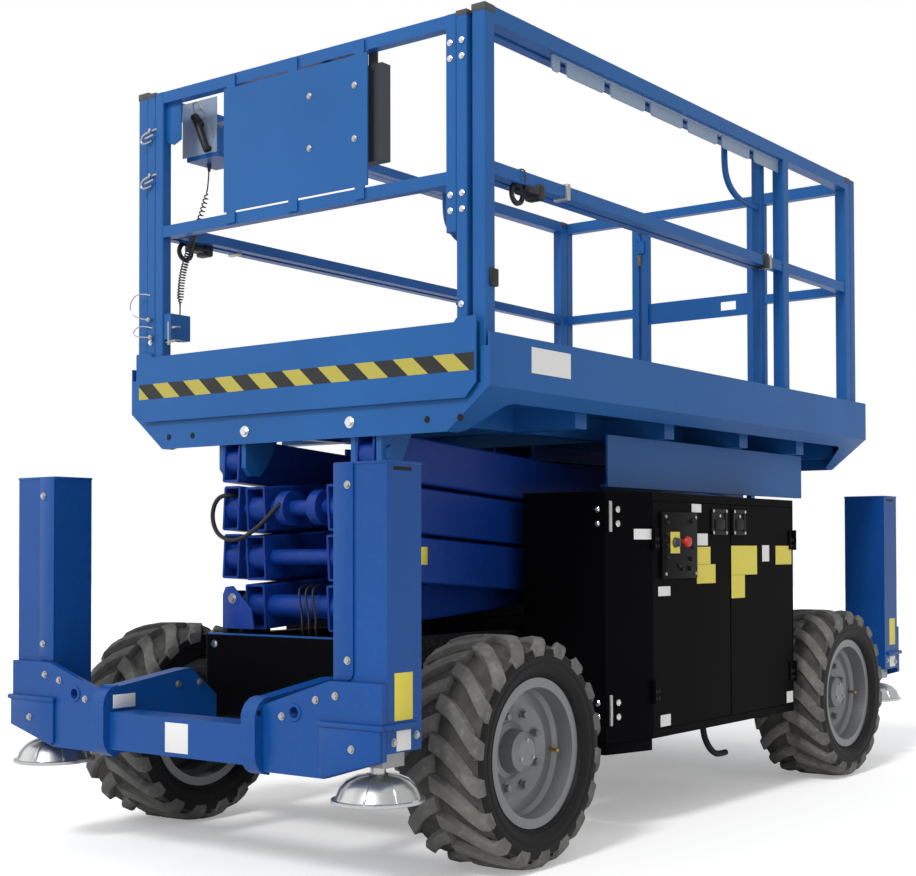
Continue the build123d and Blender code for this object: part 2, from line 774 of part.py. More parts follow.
side_plate_low_z = 1180.0
with BuildPart() as side_plates:
    for side in (-1, 1):
        block(side * 612, side * 620, door_front_y, door_front_y + 1580, side_plate_low_z, beam_low_z - 0.3)
        block(side * 590, side * 620, door_front_y, door_front_y + 1580, side_plate_low_z, side_plate_low_z + 8)
save(side_plates.part, "side_plates")


# Guard rails of the main deck
def post(x, y, z0, z1, size):
    with BuildSketch(Plane.XY.offset(z0)) as outline:
        with Locations((x, y)):
            RectangleRounded(size, size, 5)
    extrude(outline.sketch, amount=z1 - z0)


for side, hand in ((-1, "left"), (1, "right")):
    with BuildPart() as rail:
        for y in (front_post_y, middle_post_y, rear_post_y):
            post(side * rail_x, y, floor_z, rails_top_z, rail_tube)
        block(side * (rail_x - 25), side * (rail_x + 25), front_post_y, rear_post_y, rails_top_z - rail_tube, rails_top_z)
        block(side * (rail_x - 20), side * (rail_x + 20), front_post_y, rear_post_y,
              mid_rail_z - mid_tube / 2, mid_rail_z + mid_tube / 2)
    save(rail.part, f"main_rail_{hand}")

gate_hinge_x = -gate_half - 6
gate_hinge_in = 22.0
gate_knuckle_r = 5.5
knuckle_tall = 60.0
gate_hinge_z = (floor_z + 250, rails_top_z - 200)
with BuildPart() as rear_rail:
    for side in (-1, 1):
        rear_y = rear_post_y + 51
        for x in (side * rail_x, side * gate_post_x):
            post(x, rear_y, floor_z, rails_top_z, rail_tube if abs(x) > 500 else mid_tube)
        block(side * gate_post_x, side * rail_x, rear_y - 20, rear_y + 20, rails_top_z - rail_tube, rails_top_z)
        block(side * gate_post_x, side * rail_x, rear_y - 18, rear_y + 18,
              mid_rail_z - mid_tube / 2, mid_rail_z + mid_tube / 2)
    for z in gate_hinge_z:
        with BuildSketch(Plane.XY.offset(z + knuckle_tall + 0.3)):
            with Locations((gate_hinge_x, rear_y - gate_hinge_in)):
                Circle(gate_knuckle_r)
        extrude(amount=24)
        block(-gate_post_x + 10, gate_hinge_x, rear_y - gate_hinge_in - 4, rear_y - gate_hinge_in + 4,
              z + knuckle_tall + 0.3, z + knuckle_tall + 24.3)
save(rear_rail.part, "main_rail_rear")

gate_bar = 36.0
with BuildPart() as gate:
    for x in (-gate_half + gate_bar / 2, gate_half - gate_bar / 2):
        post(x, rear_y, floor_z + 60, rails_top_z - 4, gate_bar)
    block(-gate_half, gate_half, rear_y - 18, rear_y + 18, rails_top_z - 44, rails_top_z - 4)
    block(-gate_half, gate_half, rear_y - 3, rear_y + 3, mid_rail_z - 60, mid_rail_z + 40)
    block(120, 200, rear_y - 3, rear_y + 3, mid_rail_z - 30, mid_rail_z + 10, mode=Mode.SUBTRACT)
    block(-gate_half, gate_half, rear_y - 3, rear_y + 3, floor_z + 60, floor_z + 150)
    for z in gate_hinge_z:
        with BuildSketch(Plane.XY.offset(z)):
            with Locations((gate_hinge_x, rear_y - gate_hinge_in)):
                Circle(gate_knuckle_r)
        extrude(amount=knuckle_tall)
        block(gate_hinge_x, gate_hinge_x + 26, rear_y - gate_hinge_in - 4, rear_y - gate_hinge_in + 4,
              z, z + knuckle_tall)
save(gate.part, "entry_gate")

# Roll-out deck with its toe boards, rails, front plate and controls
with BuildPart() as extension:
    block(-extension_half, extension_half, deck_front_y - toe_gap, extension_rear_y, extension_floor_z, extension_floor_z + 8)
    for side in (-1, 1):
        block(side * (extension_half - 5), side * extension_half, deck_front_y - toe_gap, extension_rear_y,
              extension_floor_z + 8, skirt_top_z)
        block(side * 640, side * 690, deck_front_y - toe_gap, extension_rear_y, floor_z + 0.3, extension_floor_z)
    plate_y(
        [
            (-toe_half, toe_top_z + 14),
            (-toe_half, toe_low_z + 45),
            (-toe_half + 42, toe_low_z),
            (toe_half - 42, toe_low_z),
            (toe_half, toe_low_z + 45),
            (toe_half, toe_top_z + 14),
            (toe_half - 70, toe_top_z + 14),
            (toe_half - 84, toe_top_z),
            (-toe_half + 84, toe_top_z),
            (-toe_half + 70, toe_top_z + 14),
        ],
        deck_front_y - toe_gap - sheet,
        deck_front_y - toe_gap,
    )
save(extension.part, "extension_deck")

extension_base_z = extension_floor_z + 8
for side, hand in ((-1, "left"), (1, "right")):
    with BuildPart() as rail:
        x = side * extension_rail_x
        for y in (extension_post_y, extension_back_y):
            post(x, y, extension_base_z, extension_top_z, extension_tube)
        for z in (extension_top_z - extension_tube / 2, mid_rail_z):
            block(x - 18, x + 18, extension_post_y, extension_back_y, z - 18, z + 18)
    save(rail.part, f"extension_rail_{hand}")

front_x = extension_rail_x - extension_tube / 2
with BuildPart() as front_rail:
    post(-front_x + 20, extension_post_y, extension_base_z, extension_top_z, 40)
    post(front_x - 20, extension_post_y, mid_rail_z - 190, extension_top_z, 40)
    for z in (extension_top_z - 20, mid_rail_z - 25):
        block(-front_x, front_x, extension_post_y - 18, extension_post_y + 18, z - 20, z + 20)
save(front_rail.part, "extension_rail_front")

with BuildPart() as front_plate:
    plate_low_z = mid_rail_z - 5 + 6
    block(-323, 323, extension_post_y - 24, extension_post_y - 18.3, plate_low_z, extension_top_z - 50)
    for x in (-290, 0, 290):
        block(x - 20, x + 20, extension_post_y - 24, extension_post_y - 18.3, mid_rail_z - 40, extension_top_z - 8)
save(front_plate.part, "front_plate")

with BuildPart() as manual_box:
    block(70, 348, extension_post_y + 18.3, extension_post_y + 60, 2190, 2500)
    for x in (110, 310):
        block(x - 18, x + 18, extension_post_y + 18.3, extension_post_y + 24, 2450, extension_top_z - 8)
save(manual_box.part, "manual_box")

with BuildPart() as control_box:
    box_y = -1150.0
    plate_x(
        [
            (box_y - 70, 2350),
            (box_y - 70, 2440),
            (box_y + 10, 2500),
            (box_y + 70, 2500),
            (box_y + 70, 2350),
        ],
        -640,
        -480,
    )
    block(-extension_rail_x + 18.3, -640, box_y - 40, box_y + 40, 2380, 2420)
    block(-extension_rail_x + 18.3, -extension_rail_x + 24, box_y - 40, box_y + 40, 2380, extension_top_z - 8)
    with BuildSketch(Plane.XY.offset(2470)):
        with Locations((-560, box_y - 20)):
            Circle(14)
    extrude(amount=90)
save(control_box.part, "control_box")

# Curly cord from the control box to a socket low on the left corner post
cord_r = 11.0
cord_points = [(-600, -1150, 2349.7), (-600, -1150, 2270), (-606, -1190, 2140), (-612, -1242, 2010),
               (-616, -1272, 1900), (-616, -1272, 1790.3)]
cord_radii = []
for before, corner, after in zip(cord_points, cord_points[1:], cord_points[2:]):
    first = Vector(*corner) - Vector(*before)
    second = Vector(*after) - Vector(*corner)
    half_turn = radians(first.get_angle(second)) / 2
    cord_radii.append(0.45 * min(first.length, second.length) * cos(half_turn) / sin(half_turn))
print("cord radii", [round(radius) for radius in cord_radii])
with BuildPart() as cord:
    with BuildLine() as route:
        FilletPolyline(*cord_points, radius=cord_radii)
    with BuildSketch(Plane(origin=route.line @ 0, z_dir=route.line % 0)):
        Circle(cord_r)
    sweep(path=route.line)
save(cord.part, "control_cord")
with BuildPart() as socket:
    block(-633.7, -598, -1330, -1240, 1700, 1790)
save(socket.part, "cord_socket")

# Cabinets with two doors on each side, the chassis between them
for side, hand in ((-1, "left"), (1, "right")):
    def cabinet_plan(inset):
        return [
            (side * (cabinet_in_x + inset), cabinet_front_y + inset),
            (side * (cabinet_nose_x - inset * 0.7), cabinet_front_y + inset),
            (side * (cabinet_out_x - inset * 1.1), door_front_y),
            (side * (cabinet_out_x - inset * 1.1), cabinet_rear_y - inset),
            (side * (cabinet_in_x + inset), cabinet_rear_y - inset),
        ]

    with BuildPart() as cabinet:
        plate_z(cabinet_plan(0), cabinet_low_z, cabinet_top_z)
        plate_z(cabinet_plan(cabinet_wall), cabinet_low_z + cabinet_wall, cabinet_top_z - cabinet_wall, mode=Mode.SUBTRACT)
        block(side * (cabinet_out_x - 60), side * (cabinet_out_x + 10), door_front_y + 2, cabinet_rear_y - 4,
              door_low_z - 2, door_top_z + 2, mode=Mode.SUBTRACT)
    save(cabinet.part, f"cabinet_{hand}")
    with BuildPart() as contents:
        block(side * (cabinet_in_x + 12), side * 700, cabinet_front_y + 120, cabinet_rear_y - 60,
              cabinet_low_z + cabinet_wall + 0.3, 760)
    save(contents.part, f"battery_pack_{hand}")
    doors = {
        "front": (door_front_y + door_gap, door_split_y - door_gap, door_front_y - 4),
        "rear": (door_split_y + door_gap, cabinet_rear_y - door_gap - 4, cabinet_rear_y),
    }
    for place, (y0, y1, hinge_y) in doors.items():
        with BuildPart() as door:
            block(side * (cabinet_out_x - door_thick), side * cabinet_out_x, y0, y1, door_low_z, door_top_z)
            block(side * (cabinet_out_x - door_thick - 1), side * (cabinet_out_x - 4), y0 + 4, y1 - 4,
                  door_low_z + 4, door_top_z - 4, mode=Mode.SUBTRACT)
            for z in (door_low_z + 90, door_top_z - 170):
                with BuildSketch(Plane.XY.offset(z)):
                    with Locations((side * (cabinet_out_x + hinge_out), hinge_y)):
                        Circle(hinge_r)
                extrude(amount=80)
                leaf = 1 if place == "front" else -1
                block(side * cabinet_out_x, side * (cabinet_out_x + 5), hinge_y, hinge_y + leaf * 40, z + 2, z + 78)
                block(side * (cabinet_out_x + 1), side * (cabinet_out_x + hinge_out), hinge_y - 3, hinge_y + 3,
                      z + 2, z + 78)
        save(door.part, f"door_{place}_{hand}")

# Rear ladder on the chassis
ladder_clear = 102.0
ladder_y = pivot_rear_y + arm_tail + ladder_clear
with BuildPart() as ladder:
    for side in (-1, 1):
        block(side * 200, side * 225, ladder_y - 12, ladder_y + 25, 330, 1400)
        block(side * 200, side * 225, chassis_rear_y + 0.3, ladder_y, 520, 640)
    for z in range(380, 1400, 250):
        tube_x(-200, 200, ladder_y + 6, z, 14)
save(ladder.part, "entry_ladder")

# Key switch panel on the right front door
with BuildPart() as panel:
    block(cabinet_out_x + 0.3, cabinet_out_x + 12, -230, -80, 930, 1120)
save(panel.part, "ground_panel")
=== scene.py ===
import bpy
import bmesh
import json
from math import cos, pi, radians, sin
from mathutils import Matrix, Vector


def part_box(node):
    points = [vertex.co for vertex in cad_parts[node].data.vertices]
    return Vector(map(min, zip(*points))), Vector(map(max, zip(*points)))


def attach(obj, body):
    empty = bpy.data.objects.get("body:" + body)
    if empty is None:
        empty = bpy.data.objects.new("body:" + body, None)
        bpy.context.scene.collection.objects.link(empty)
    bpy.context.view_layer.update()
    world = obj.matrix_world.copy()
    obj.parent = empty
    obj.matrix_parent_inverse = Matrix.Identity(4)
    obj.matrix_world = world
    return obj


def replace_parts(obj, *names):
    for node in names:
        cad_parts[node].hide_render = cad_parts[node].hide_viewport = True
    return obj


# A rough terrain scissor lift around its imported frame, in metres: +Y to the rear, +X to the controls' side
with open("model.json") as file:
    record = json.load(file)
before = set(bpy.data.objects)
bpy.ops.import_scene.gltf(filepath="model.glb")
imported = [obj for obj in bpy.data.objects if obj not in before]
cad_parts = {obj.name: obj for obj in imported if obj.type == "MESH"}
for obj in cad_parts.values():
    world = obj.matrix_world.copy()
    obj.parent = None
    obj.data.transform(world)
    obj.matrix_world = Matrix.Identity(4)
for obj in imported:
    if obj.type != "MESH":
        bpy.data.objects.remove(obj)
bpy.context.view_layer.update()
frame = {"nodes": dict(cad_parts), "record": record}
nodes = frame["nodes"]
bodyOfNode = {node: body for body, group in frame["record"]["behaviour"]["bodies"].items() for node in group}
print("stage: frame loaded")

# Camera, lights, world and floor
cameraSizes = {
    "place": (3.4345, -4.875, 0.958),
    "yaw": 36.175,
    "pitch": 1.21,
    "roll": -0.153,
    "lens": 59.02,
    "shiftX": -0.0496,
    "shiftY": 0.0877,
    "clipEnd": 60.0,
}
lightSizes = {
    "worldLevel": 0.62,
    "sunStrength": 1.5,
    "sunAngle": 12.0,
    "sunFrom": (0.12, -0.72, 0.70),
    "fillStrength": 0.45,
    "fillAngle": 60.0,
    "fillFrom": (-0.8, -0.35, 0.3),
    "floorSize": 60.0,
    "floorColour": (0.93, 0.93, 0.93),
    "floorGlow": 0.3,  # seen by the camera only, so the shadow stays and the horizon goes
}


def addObject(name, data):
    item = bpy.data.objects.new(name, data)
    bpy.context.scene.collection.objects.link(item)
    return item


def addNode(tree, kind, x=0, y=0, **values):
    node = tree.nodes.new(kind)
    node.location = (x, y)
    for key, value in values.items():
        setattr(node, key, value)
    return node


def linkAll(tree, pairs):
    for source, target in pairs:
        tree.links.new(source, target)


def startMaterial(name):
    material = bpy.data.materials.new(name)
    material.use_nodes = True
    return material, material.node_tree, material.node_tree.nodes["Principled BSDF"]


def makeCamera(sizes):
    yaw, pitch, roll = (radians(sizes[key]) for key in ("yaw", "pitch", "roll"))
    ahead = Vector((-sin(yaw) * cos(pitch), cos(yaw) * cos(pitch), sin(pitch)))
    right = Vector((cos(yaw), sin(yaw), 0))
    up = right.cross(ahead)
    turnedRight = right * cos(roll) + up * sin(roll)
    turnedUp = up * cos(roll) - right * sin(roll)
    camera = addObject("photoCamera", bpy.data.cameras.new("photoCamera"))
    camera.data.lens = sizes["lens"]
    camera.data.shift_x = sizes["shiftX"]
    camera.data.shift_y = sizes["shiftY"]
    camera.data.clip_end = sizes["clipEnd"]
    axes = Matrix((turnedRight, turnedUp, -ahead)).transposed().to_4x4()
    camera.matrix_world = Matrix.Translation(sizes["place"]) @ axes
    bpy.context.scene.camera = camera


def addSun(name, strength, comesFrom, angle):
    lamp = bpy.data.lights.new(name, "SUN")
    lamp.energy = strength
    lamp.angle = radians(angle)
    addObject(name, lamp).rotation_euler = Vector(comesFrom).to_track_quat("Z", "Y").to_euler()


def makeWorld(sizes):
    world = bpy.data.worlds.new("studio")
    bpy.context.scene.world = world
    world.use_nodes = True
    tree = world.node_tree
    tree.nodes.clear()
    rays = addNode(tree, "ShaderNodeLightPath", -700, 200)
    seen = addNode(tree, "ShaderNodeMath", -500, 250, operation="MAXIMUM")
    plain = addNode(tree, "ShaderNodeBackground", -300, 0)
    white = addNode(tree, "ShaderNodeBackground", -300, -150)
    mix = addNode(tree, "ShaderNodeMixShader", 0, 100)
    out = addNode(tree, "ShaderNodeOutputWorld", 200, 100)
    for background, level in ((plain, sizes["worldLevel"]), (white, 1.0)):
        background.inputs["Color"].default_value = (1, 1, 1, 1)
        background.inputs["Strength"].default_value = level
    linkAll(tree, (
        (rays.outputs["Is Camera Ray"], seen.inputs[0]),
        (rays.outputs["Is Transmission Ray"], seen.inputs[1]),
        (seen.outputs[0], mix.inputs["Fac"]),
        (plain.outputs[0], mix.inputs[1]),
        (white.outputs[0], mix.inputs[2]),
        (mix.outputs[0], out.inputs[0]),
    ))


def makeFloor(sizes):
    half = sizes["floorSize"] / 2
    mesh = bpy.data.meshes.new("studioFloor")
    corners = [(-half, -half, 0), (half, -half, 0), (half, half, 0), (-half, half, 0)]
    mesh.from_pydata(corners, [], [(0, 1, 2, 3)])
    floor = addObject("studioFloor", mesh)
    material, tree, shader = startMaterial("floorWhite")
    shader.inputs["Base Color"].default_value = (*sizes["floorColour"], 1)
    shader.inputs["Roughness"].default_value = 0.95
    shader.inputs["Specular IOR Level"].default_value = 0.0
    shader.inputs["Emission Color"].default_value = (1, 1, 1, 1)
    rays = addNode(tree, "ShaderNodeLightPath", -600, -200)
    glow = addNode(tree, "ShaderNodeMath", -300, -200, operation="MULTIPLY")
    glow.inputs[1].default_value = sizes["floorGlow"]
    tree.links.new(rays.outputs["Is Camera Ray"], glow.inputs[0])
    tree.links.new(glow.outputs[0], shader.inputs["Emission Strength"])
    mesh.materials.append(material)


makeCamera(cameraSizes)
makeWorld(lightSizes)
makeFloor(lightSizes)
addSun("keySun", lightSizes["sunStrength"], lightSizes["sunFrom"], lightSizes["sunAngle"])
addSun("fillSun", lightSizes["fillStrength"], lightSizes["fillFrom"], lightSizes["fillAngle"])
bpy.context.scene.view_settings.view_transform = "Standard"
print("stage: camera and light")


# Materials: each reads Object coordinates, so nothing slides when a body moves
def addRamp(tree, y, stops):
    ramp = addNode(tree, "ShaderNodeValToRGB", -700, y)
    for element, (position, colour) in zip(ramp.color_ramp.elements, stops):
        element.position = position
        element.color = (*colour, 1)
    return ramp


def paintTree(name, sizes):
    material, tree, shader = startMaterial(name)
    place = addNode(tree, "ShaderNodeTexCoord", -1200, 0)
    broad = addNode(tree, "ShaderNodeTexNoise", -950, 200)
    fine = addNode(tree, "ShaderNodeTexNoise", -950, -150)
    broad.inputs["Scale"].default_value = sizes["broadScale"]
    broad.inputs["Detail"].default_value = 5
    fine.inputs["Scale"].default_value = sizes["fineScale"]
    fine.inputs["Detail"].default_value = 6
    for noise in (broad, fine):
        tree.links.new(place.outputs["Object"], noise.inputs["Vector"])
    darker = [channel * (1 - sizes["shift"]) for channel in sizes["colour"]]
    lighter = [min(channel * (1 + sizes["shift"]), 1) for channel in sizes["colour"]]
    ramp = addRamp(tree, 200, ((0.3, darker), (0.72, lighter)))
    tree.links.new(broad.outputs["Fac"], ramp.inputs["Fac"])
    colour = ramp.outputs["Color"]
    if sizes["dust"]:
        dustRamp = addRamp(tree, -50, ((0.52, (0, 0, 0)), (0.78, (sizes["dust"],) * 3)))
        mix = addNode(tree, "ShaderNodeMix", -400, 150, data_type="RGBA")
        mix.inputs["B"].default_value = (*sizes["dustColour"], 1)
        linkAll(tree, (
            (fine.outputs["Fac"], dustRamp.inputs["Fac"]),
            (dustRamp.outputs["Color"], mix.inputs["Factor"]),
            (colour, mix.inputs["A"]),
        ))
        colour = mix.outputs["Result"]
    tree.links.new(colour, shader.inputs["Base Color"])
    spread = addNode(tree, "ShaderNodeMapRange", -700, -300)
    spread.inputs["To Min"].default_value = max(sizes["roughness"] - sizes["roughShift"], 0.03)
    spread.inputs["To Max"].default_value = min(sizes["roughness"] + sizes["roughShift"], 1)
    tree.links.new(fine.outputs["Fac"], spread.inputs["Value"])
    tree.links.new(spread.outputs["Result"], shader.inputs["Roughness"])
    if sizes["bump"]:
        relief = addNode(tree, "ShaderNodeBump", -400, -300)
        relief.inputs["Strength"].default_value = sizes["bump"]
        relief.inputs["Distance"].default_value = sizes["bumpDepth"]
        tree.links.new(fine.outputs["Fac"], relief.inputs["Height"])
        tree.links.new(relief.outputs["Normal"], shader.inputs["Normal"])
    shader.inputs["Metallic"].default_value = sizes["metallic"]
    shader.inputs["Coat Weight"].default_value = sizes["coat"]
    shader.inputs["Coat Roughness"].default_value = sizes["coatRoughness"]
    shader.inputs["Specular IOR Level"].default_value = sizes["specular"]
    return material


plainFinish = {
    "broadScale": 2.2,
    "fineScale": 60.0,
    "shift": 0.08,
    "dust": 0.0,
    "dustColour": (0.30, 0.28, 0.25),
    "roughness": 0.4,
    "roughShift": 0.08,
    "bump": 0.05,
    "bumpDepth": 0.002,
    "metallic": 0.0,
    "coat": 0.0,
    "coatRoughness": 0.15,
    "specular": 0.5,
}
finishes = {
    "brightBlue": {"colour": (0.010, 0.106, 0.345), "coat": 0.06, "roughness": 0.42, "specular": 0.25},
    "scissorBlue": {"colour": (0.003, 0.038, 0.262), "coat": 0.05, "roughness": 0.42, "dust": 0.06,
                    "specular": 0.25},
    "outriggerBlue": {"colour": (0.003, 0.068, 0.290), "coat": 0.06, "roughness": 0.40, "dust": 0.03,
                      "specular": 0.25},
    "blackPaint": {"colour": (0.0026, 0.0026, 0.0034), "roughness": 0.42, "specular": 0.02},
    "chassisBlack": {"colour": (0.006, 0.006, 0.008), "roughness": 0.6, "dust": 0.12, "specular": 0.15},
    "treadRubber": {"colour": (0.150, 0.147, 0.139), "shift": 0.28, "broadScale": 9, "roughness": 0.9,
                    "bump": 0.5, "fineScale": 42, "dust": 0.5, "dustColour": (0.30, 0.295, 0.28),
                    "specular": 0.15},
    # The tread base is darker than the lugs' rubber as painted shade between the lugs; its dust is real
    "shadedTreadBase": {"colour": (0.070, 0.068, 0.064), "shift": 0.3, "broadScale": 11, "roughness": 0.92,
                  "bump": 0.4, "fineScale": 42, "dust": 0.35, "dustColour": (0.16, 0.157, 0.148),
                  "specular": 0.12},
    "wallRubber": {"colour": (0.008, 0.008, 0.009), "shift": 0.2, "roughness": 0.55, "bump": 0.15, "dust": 0.2,
                   "dustColour": (0.05, 0.049, 0.046), "specular": 0.2},
    "rimGrey": {"colour": (0.24, 0.245, 0.255), "metallic": 0.45, "roughness": 0.34, "dust": 0.2,
                "dustColour": (0.25, 0.24, 0.22)},
    "padSilver": {"colour": (0.62, 0.63, 0.63), "metallic": 0.9, "roughness": 0.3, "bump": 0.2, "dust": 0.15,
                  "dustColour": (0.32, 0.31, 0.29)},
    "brightSteel": {"colour": (0.72, 0.72, 0.73), "metallic": 1.0, "roughness": 0.2, "bump": 0.0},
    "zincSteel": {"colour": (0.50, 0.50, 0.49), "metallic": 0.9, "roughness": 0.38, "bump": 0.1,
                  "dust": 0.15},
    "legSteel": {"colour": (0.36, 0.365, 0.37), "metallic": 0.7, "roughness": 0.4, "dust": 0.2},
    "darkPlastic": {"colour": (0.008, 0.008, 0.009), "roughness": 0.5, "bump": 0.2, "fineScale": 260,
                    "specular": 0.2},
    "panelBlack": {"colour": (0.004, 0.004, 0.005), "roughness": 0.5, "bump": 0.1, "fineScale": 260,
                   "specular": 0.1},
    "capGrey": {"colour": (0.06, 0.062, 0.068), "roughness": 0.55, "bump": 0.15, "fineScale": 200},
    "hoseRubber": {"colour": (0.010, 0.010, 0.011), "roughness": 0.48, "bump": 0.1, "fineScale": 300},
    "batteryCase": {"colour": (0.02, 0.02, 0.023), "roughness": 0.6, "bump": 0.2},
    "signYellow": {"colour": (0.74, 0.63, 0.06), "roughness": 0.4, "shift": 0.03, "bump": 0.0},
    "signWhite": {"colour": (0.78, 0.78, 0.77), "roughness": 0.4, "shift": 0.02, "bump": 0.0},
    "signRed": {"colour": (0.55, 0.02, 0.02), "roughness": 0.35, "shift": 0.05, "bump": 0.0},
    "paleBlue": {"colour": (0.26, 0.34, 0.46), "roughness": 0.4},
    "brassSpring": {"colour": (0.50, 0.33, 0.12), "metallic": 0.9, "roughness": 0.35, "bump": 0.1},
}
paint = {name: paintTree(name, {**plainFinish, **own}) for name, own in finishes.items()}

hazardSizes = {"period": 0.158, "lean": 1.15, "share": 0.5, "yellow": (0.47, 0.41, 0.06),
               "black": (0.008, 0.008, 0.009), "fineScale": 70.0, "roughness": (0.36, 0.55)}


def hazardPaint(sizes):
    material, tree, shader = startMaterial("hazardBars")
    place = addNode(tree, "ShaderNodeTexCoord", -1200, 0)
    split = addNode(tree, "ShaderNodeSeparateXYZ", -1000, 0)
    lean = addNode(tree, "ShaderNodeMath", -800, -100, operation="MULTIPLY")
    total = addNode(tree, "ShaderNodeMath", -650, 0, operation="ADD")
    steps = addNode(tree, "ShaderNodeMath", -500, 0, operation="DIVIDE")
    part = addNode(tree, "ShaderNodeMath", -350, 0, operation="FRACT")
    pick = addNode(tree, "ShaderNodeMath", -200, 0, operation="GREATER_THAN")
    mix = addNode(tree, "ShaderNodeMix", 0, 0, data_type="RGBA")
    lean.inputs[1].default_value = sizes["lean"]
    steps.inputs[1].default_value = sizes["period"]
    pick.inputs[1].default_value = sizes["share"]
    mix.inputs["A"].default_value = (*sizes["yellow"], 1)
    mix.inputs["B"].default_value = (*sizes["black"], 1)
    linkAll(tree, (
        (place.outputs["Object"], split.inputs[0]),
        (split.outputs["Z"], lean.inputs[0]),
        (split.outputs["X"], total.inputs[0]),
        (lean.outputs[0], total.inputs[1]),
        (total.outputs[0], steps.inputs[0]),
        (steps.outputs[0], part.inputs[0]),
        (part.outputs[0], pick.inputs[0]),
        (pick.outputs[0], mix.inputs["Factor"]),
        (mix.outputs["Result"], shader.inputs["Base Color"]),
    ))
    fine = addNode(tree, "ShaderNodeTexNoise", -400, -300)
    spread = addNode(tree, "ShaderNodeMapRange", -200, -300)
    fine.inputs["Scale"].default_value = sizes["fineScale"]
    spread.inputs["To Min"].default_value, spread.inputs["To Max"].default_value = sizes["roughness"]
    linkAll(tree, (
        (place.outputs["Object"], fine.inputs["Vector"]),
        (fine.outputs["Fac"], spread.inputs["Value"]),
        (spread.outputs["Result"], shader.inputs["Roughness"]),
    ))
    return material


paint["hazardBars"] = hazardPaint(hazardSizes)

# Each CAD node's paint by how its name starts; what isn't listed is bright blue
startsOfPaint = {
    "treadRubber": ("tyre_",),
    "rimGrey": ("rim_",),
    "padSilver": ("pad_",),
    "legSteel": ("leg_",),
    "outriggerBlue": ("outrigger",),
    "scissorBlue": ("scissor", "roller_guides"),
    "blackPaint": ("cabinet", "door", "front_cover"),
    "chassisBlack": ("chassis", "front_axle", "rear_axle", "knuckle", "cylinder_barrel"),
    "brightSteel": ("cylinder_rod", "steering_rod"),
    "batteryCase": ("battery",),
    "capGrey": ("manual_box",),
    "darkPlastic": ("ground_panel",),
    "hoseRubber": ("control_cord",),
}
for nodeName, item in nodes.items():
    found = [finish for finish, starts in startsOfPaint.items() if nodeName.startswith(starts)]
    chosen = paint[found[0] if found else "brightBlue"]
    if not item.material_slots:
        item.data.materials.append(chosen)
    for holder in item.material_slots:
        holder.material = chosen
print("stage: materials")


# Mesh tools
sharpAngle = radians(32)
hands = ((-1, "left"), (1, "right"))
forward = (0, -1, 0)


def bakedMesh(item):
    bpy.context.view_layer.update()
    return bpy.data.meshes.new_from_object(item.evaluated_get(bpy.context.evaluated_depsgraph_get()))


def curveThrough(name, points, steps, closed=False):
    curve = bpy.data.curves.new(name, "CURVE")
    curve.dimensions = "3D"
    line = curve.splines.new("NURBS")
    line.points.add(len(points) - 1)
    for point, spot in zip(line.points, points):
        point.co = (*spot, 1)
    line.order_u = 3
    line.use_endpoint_u = not closed
    line.use_cyclic_u = closed
    line.resolution_u = steps
    return curve


def thicken(curve, radius, roundness):
    curve.bevel_depth = radius
    curve.bevel_resolution = roundness
    curve.use_fill_caps = True


def soften(bm, edges, bevel):
    if bevel:
        bmesh.ops.bevel(bm, geom=edges, offset=bevel, segments=2, affect="EDGES", profile=0.5)


def frameTo(direction):
    return Vector(direction).normalized().to_track_quat("Z", "Y").to_matrix().to_4x4()


def ownMesh(name, bm, finish):
    bmesh.ops.remove_doubles(bm, verts=bm.verts, dist=1e-6)
    for edge in bm.edges:
        edge.smooth = len(edge.link_faces) == 2 and edge.calc_face_angle(4) < sharpAngle
    for face in bm.faces:
        face.smooth = True
    mesh = bpy.data.meshes.new(name)
    bm.to_mesh(mesh)
    bm.free()
    mesh.materials.append(paint[finish])
    return addObject(name, mesh)


def settle(item, body):
    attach(item, body)
    return item


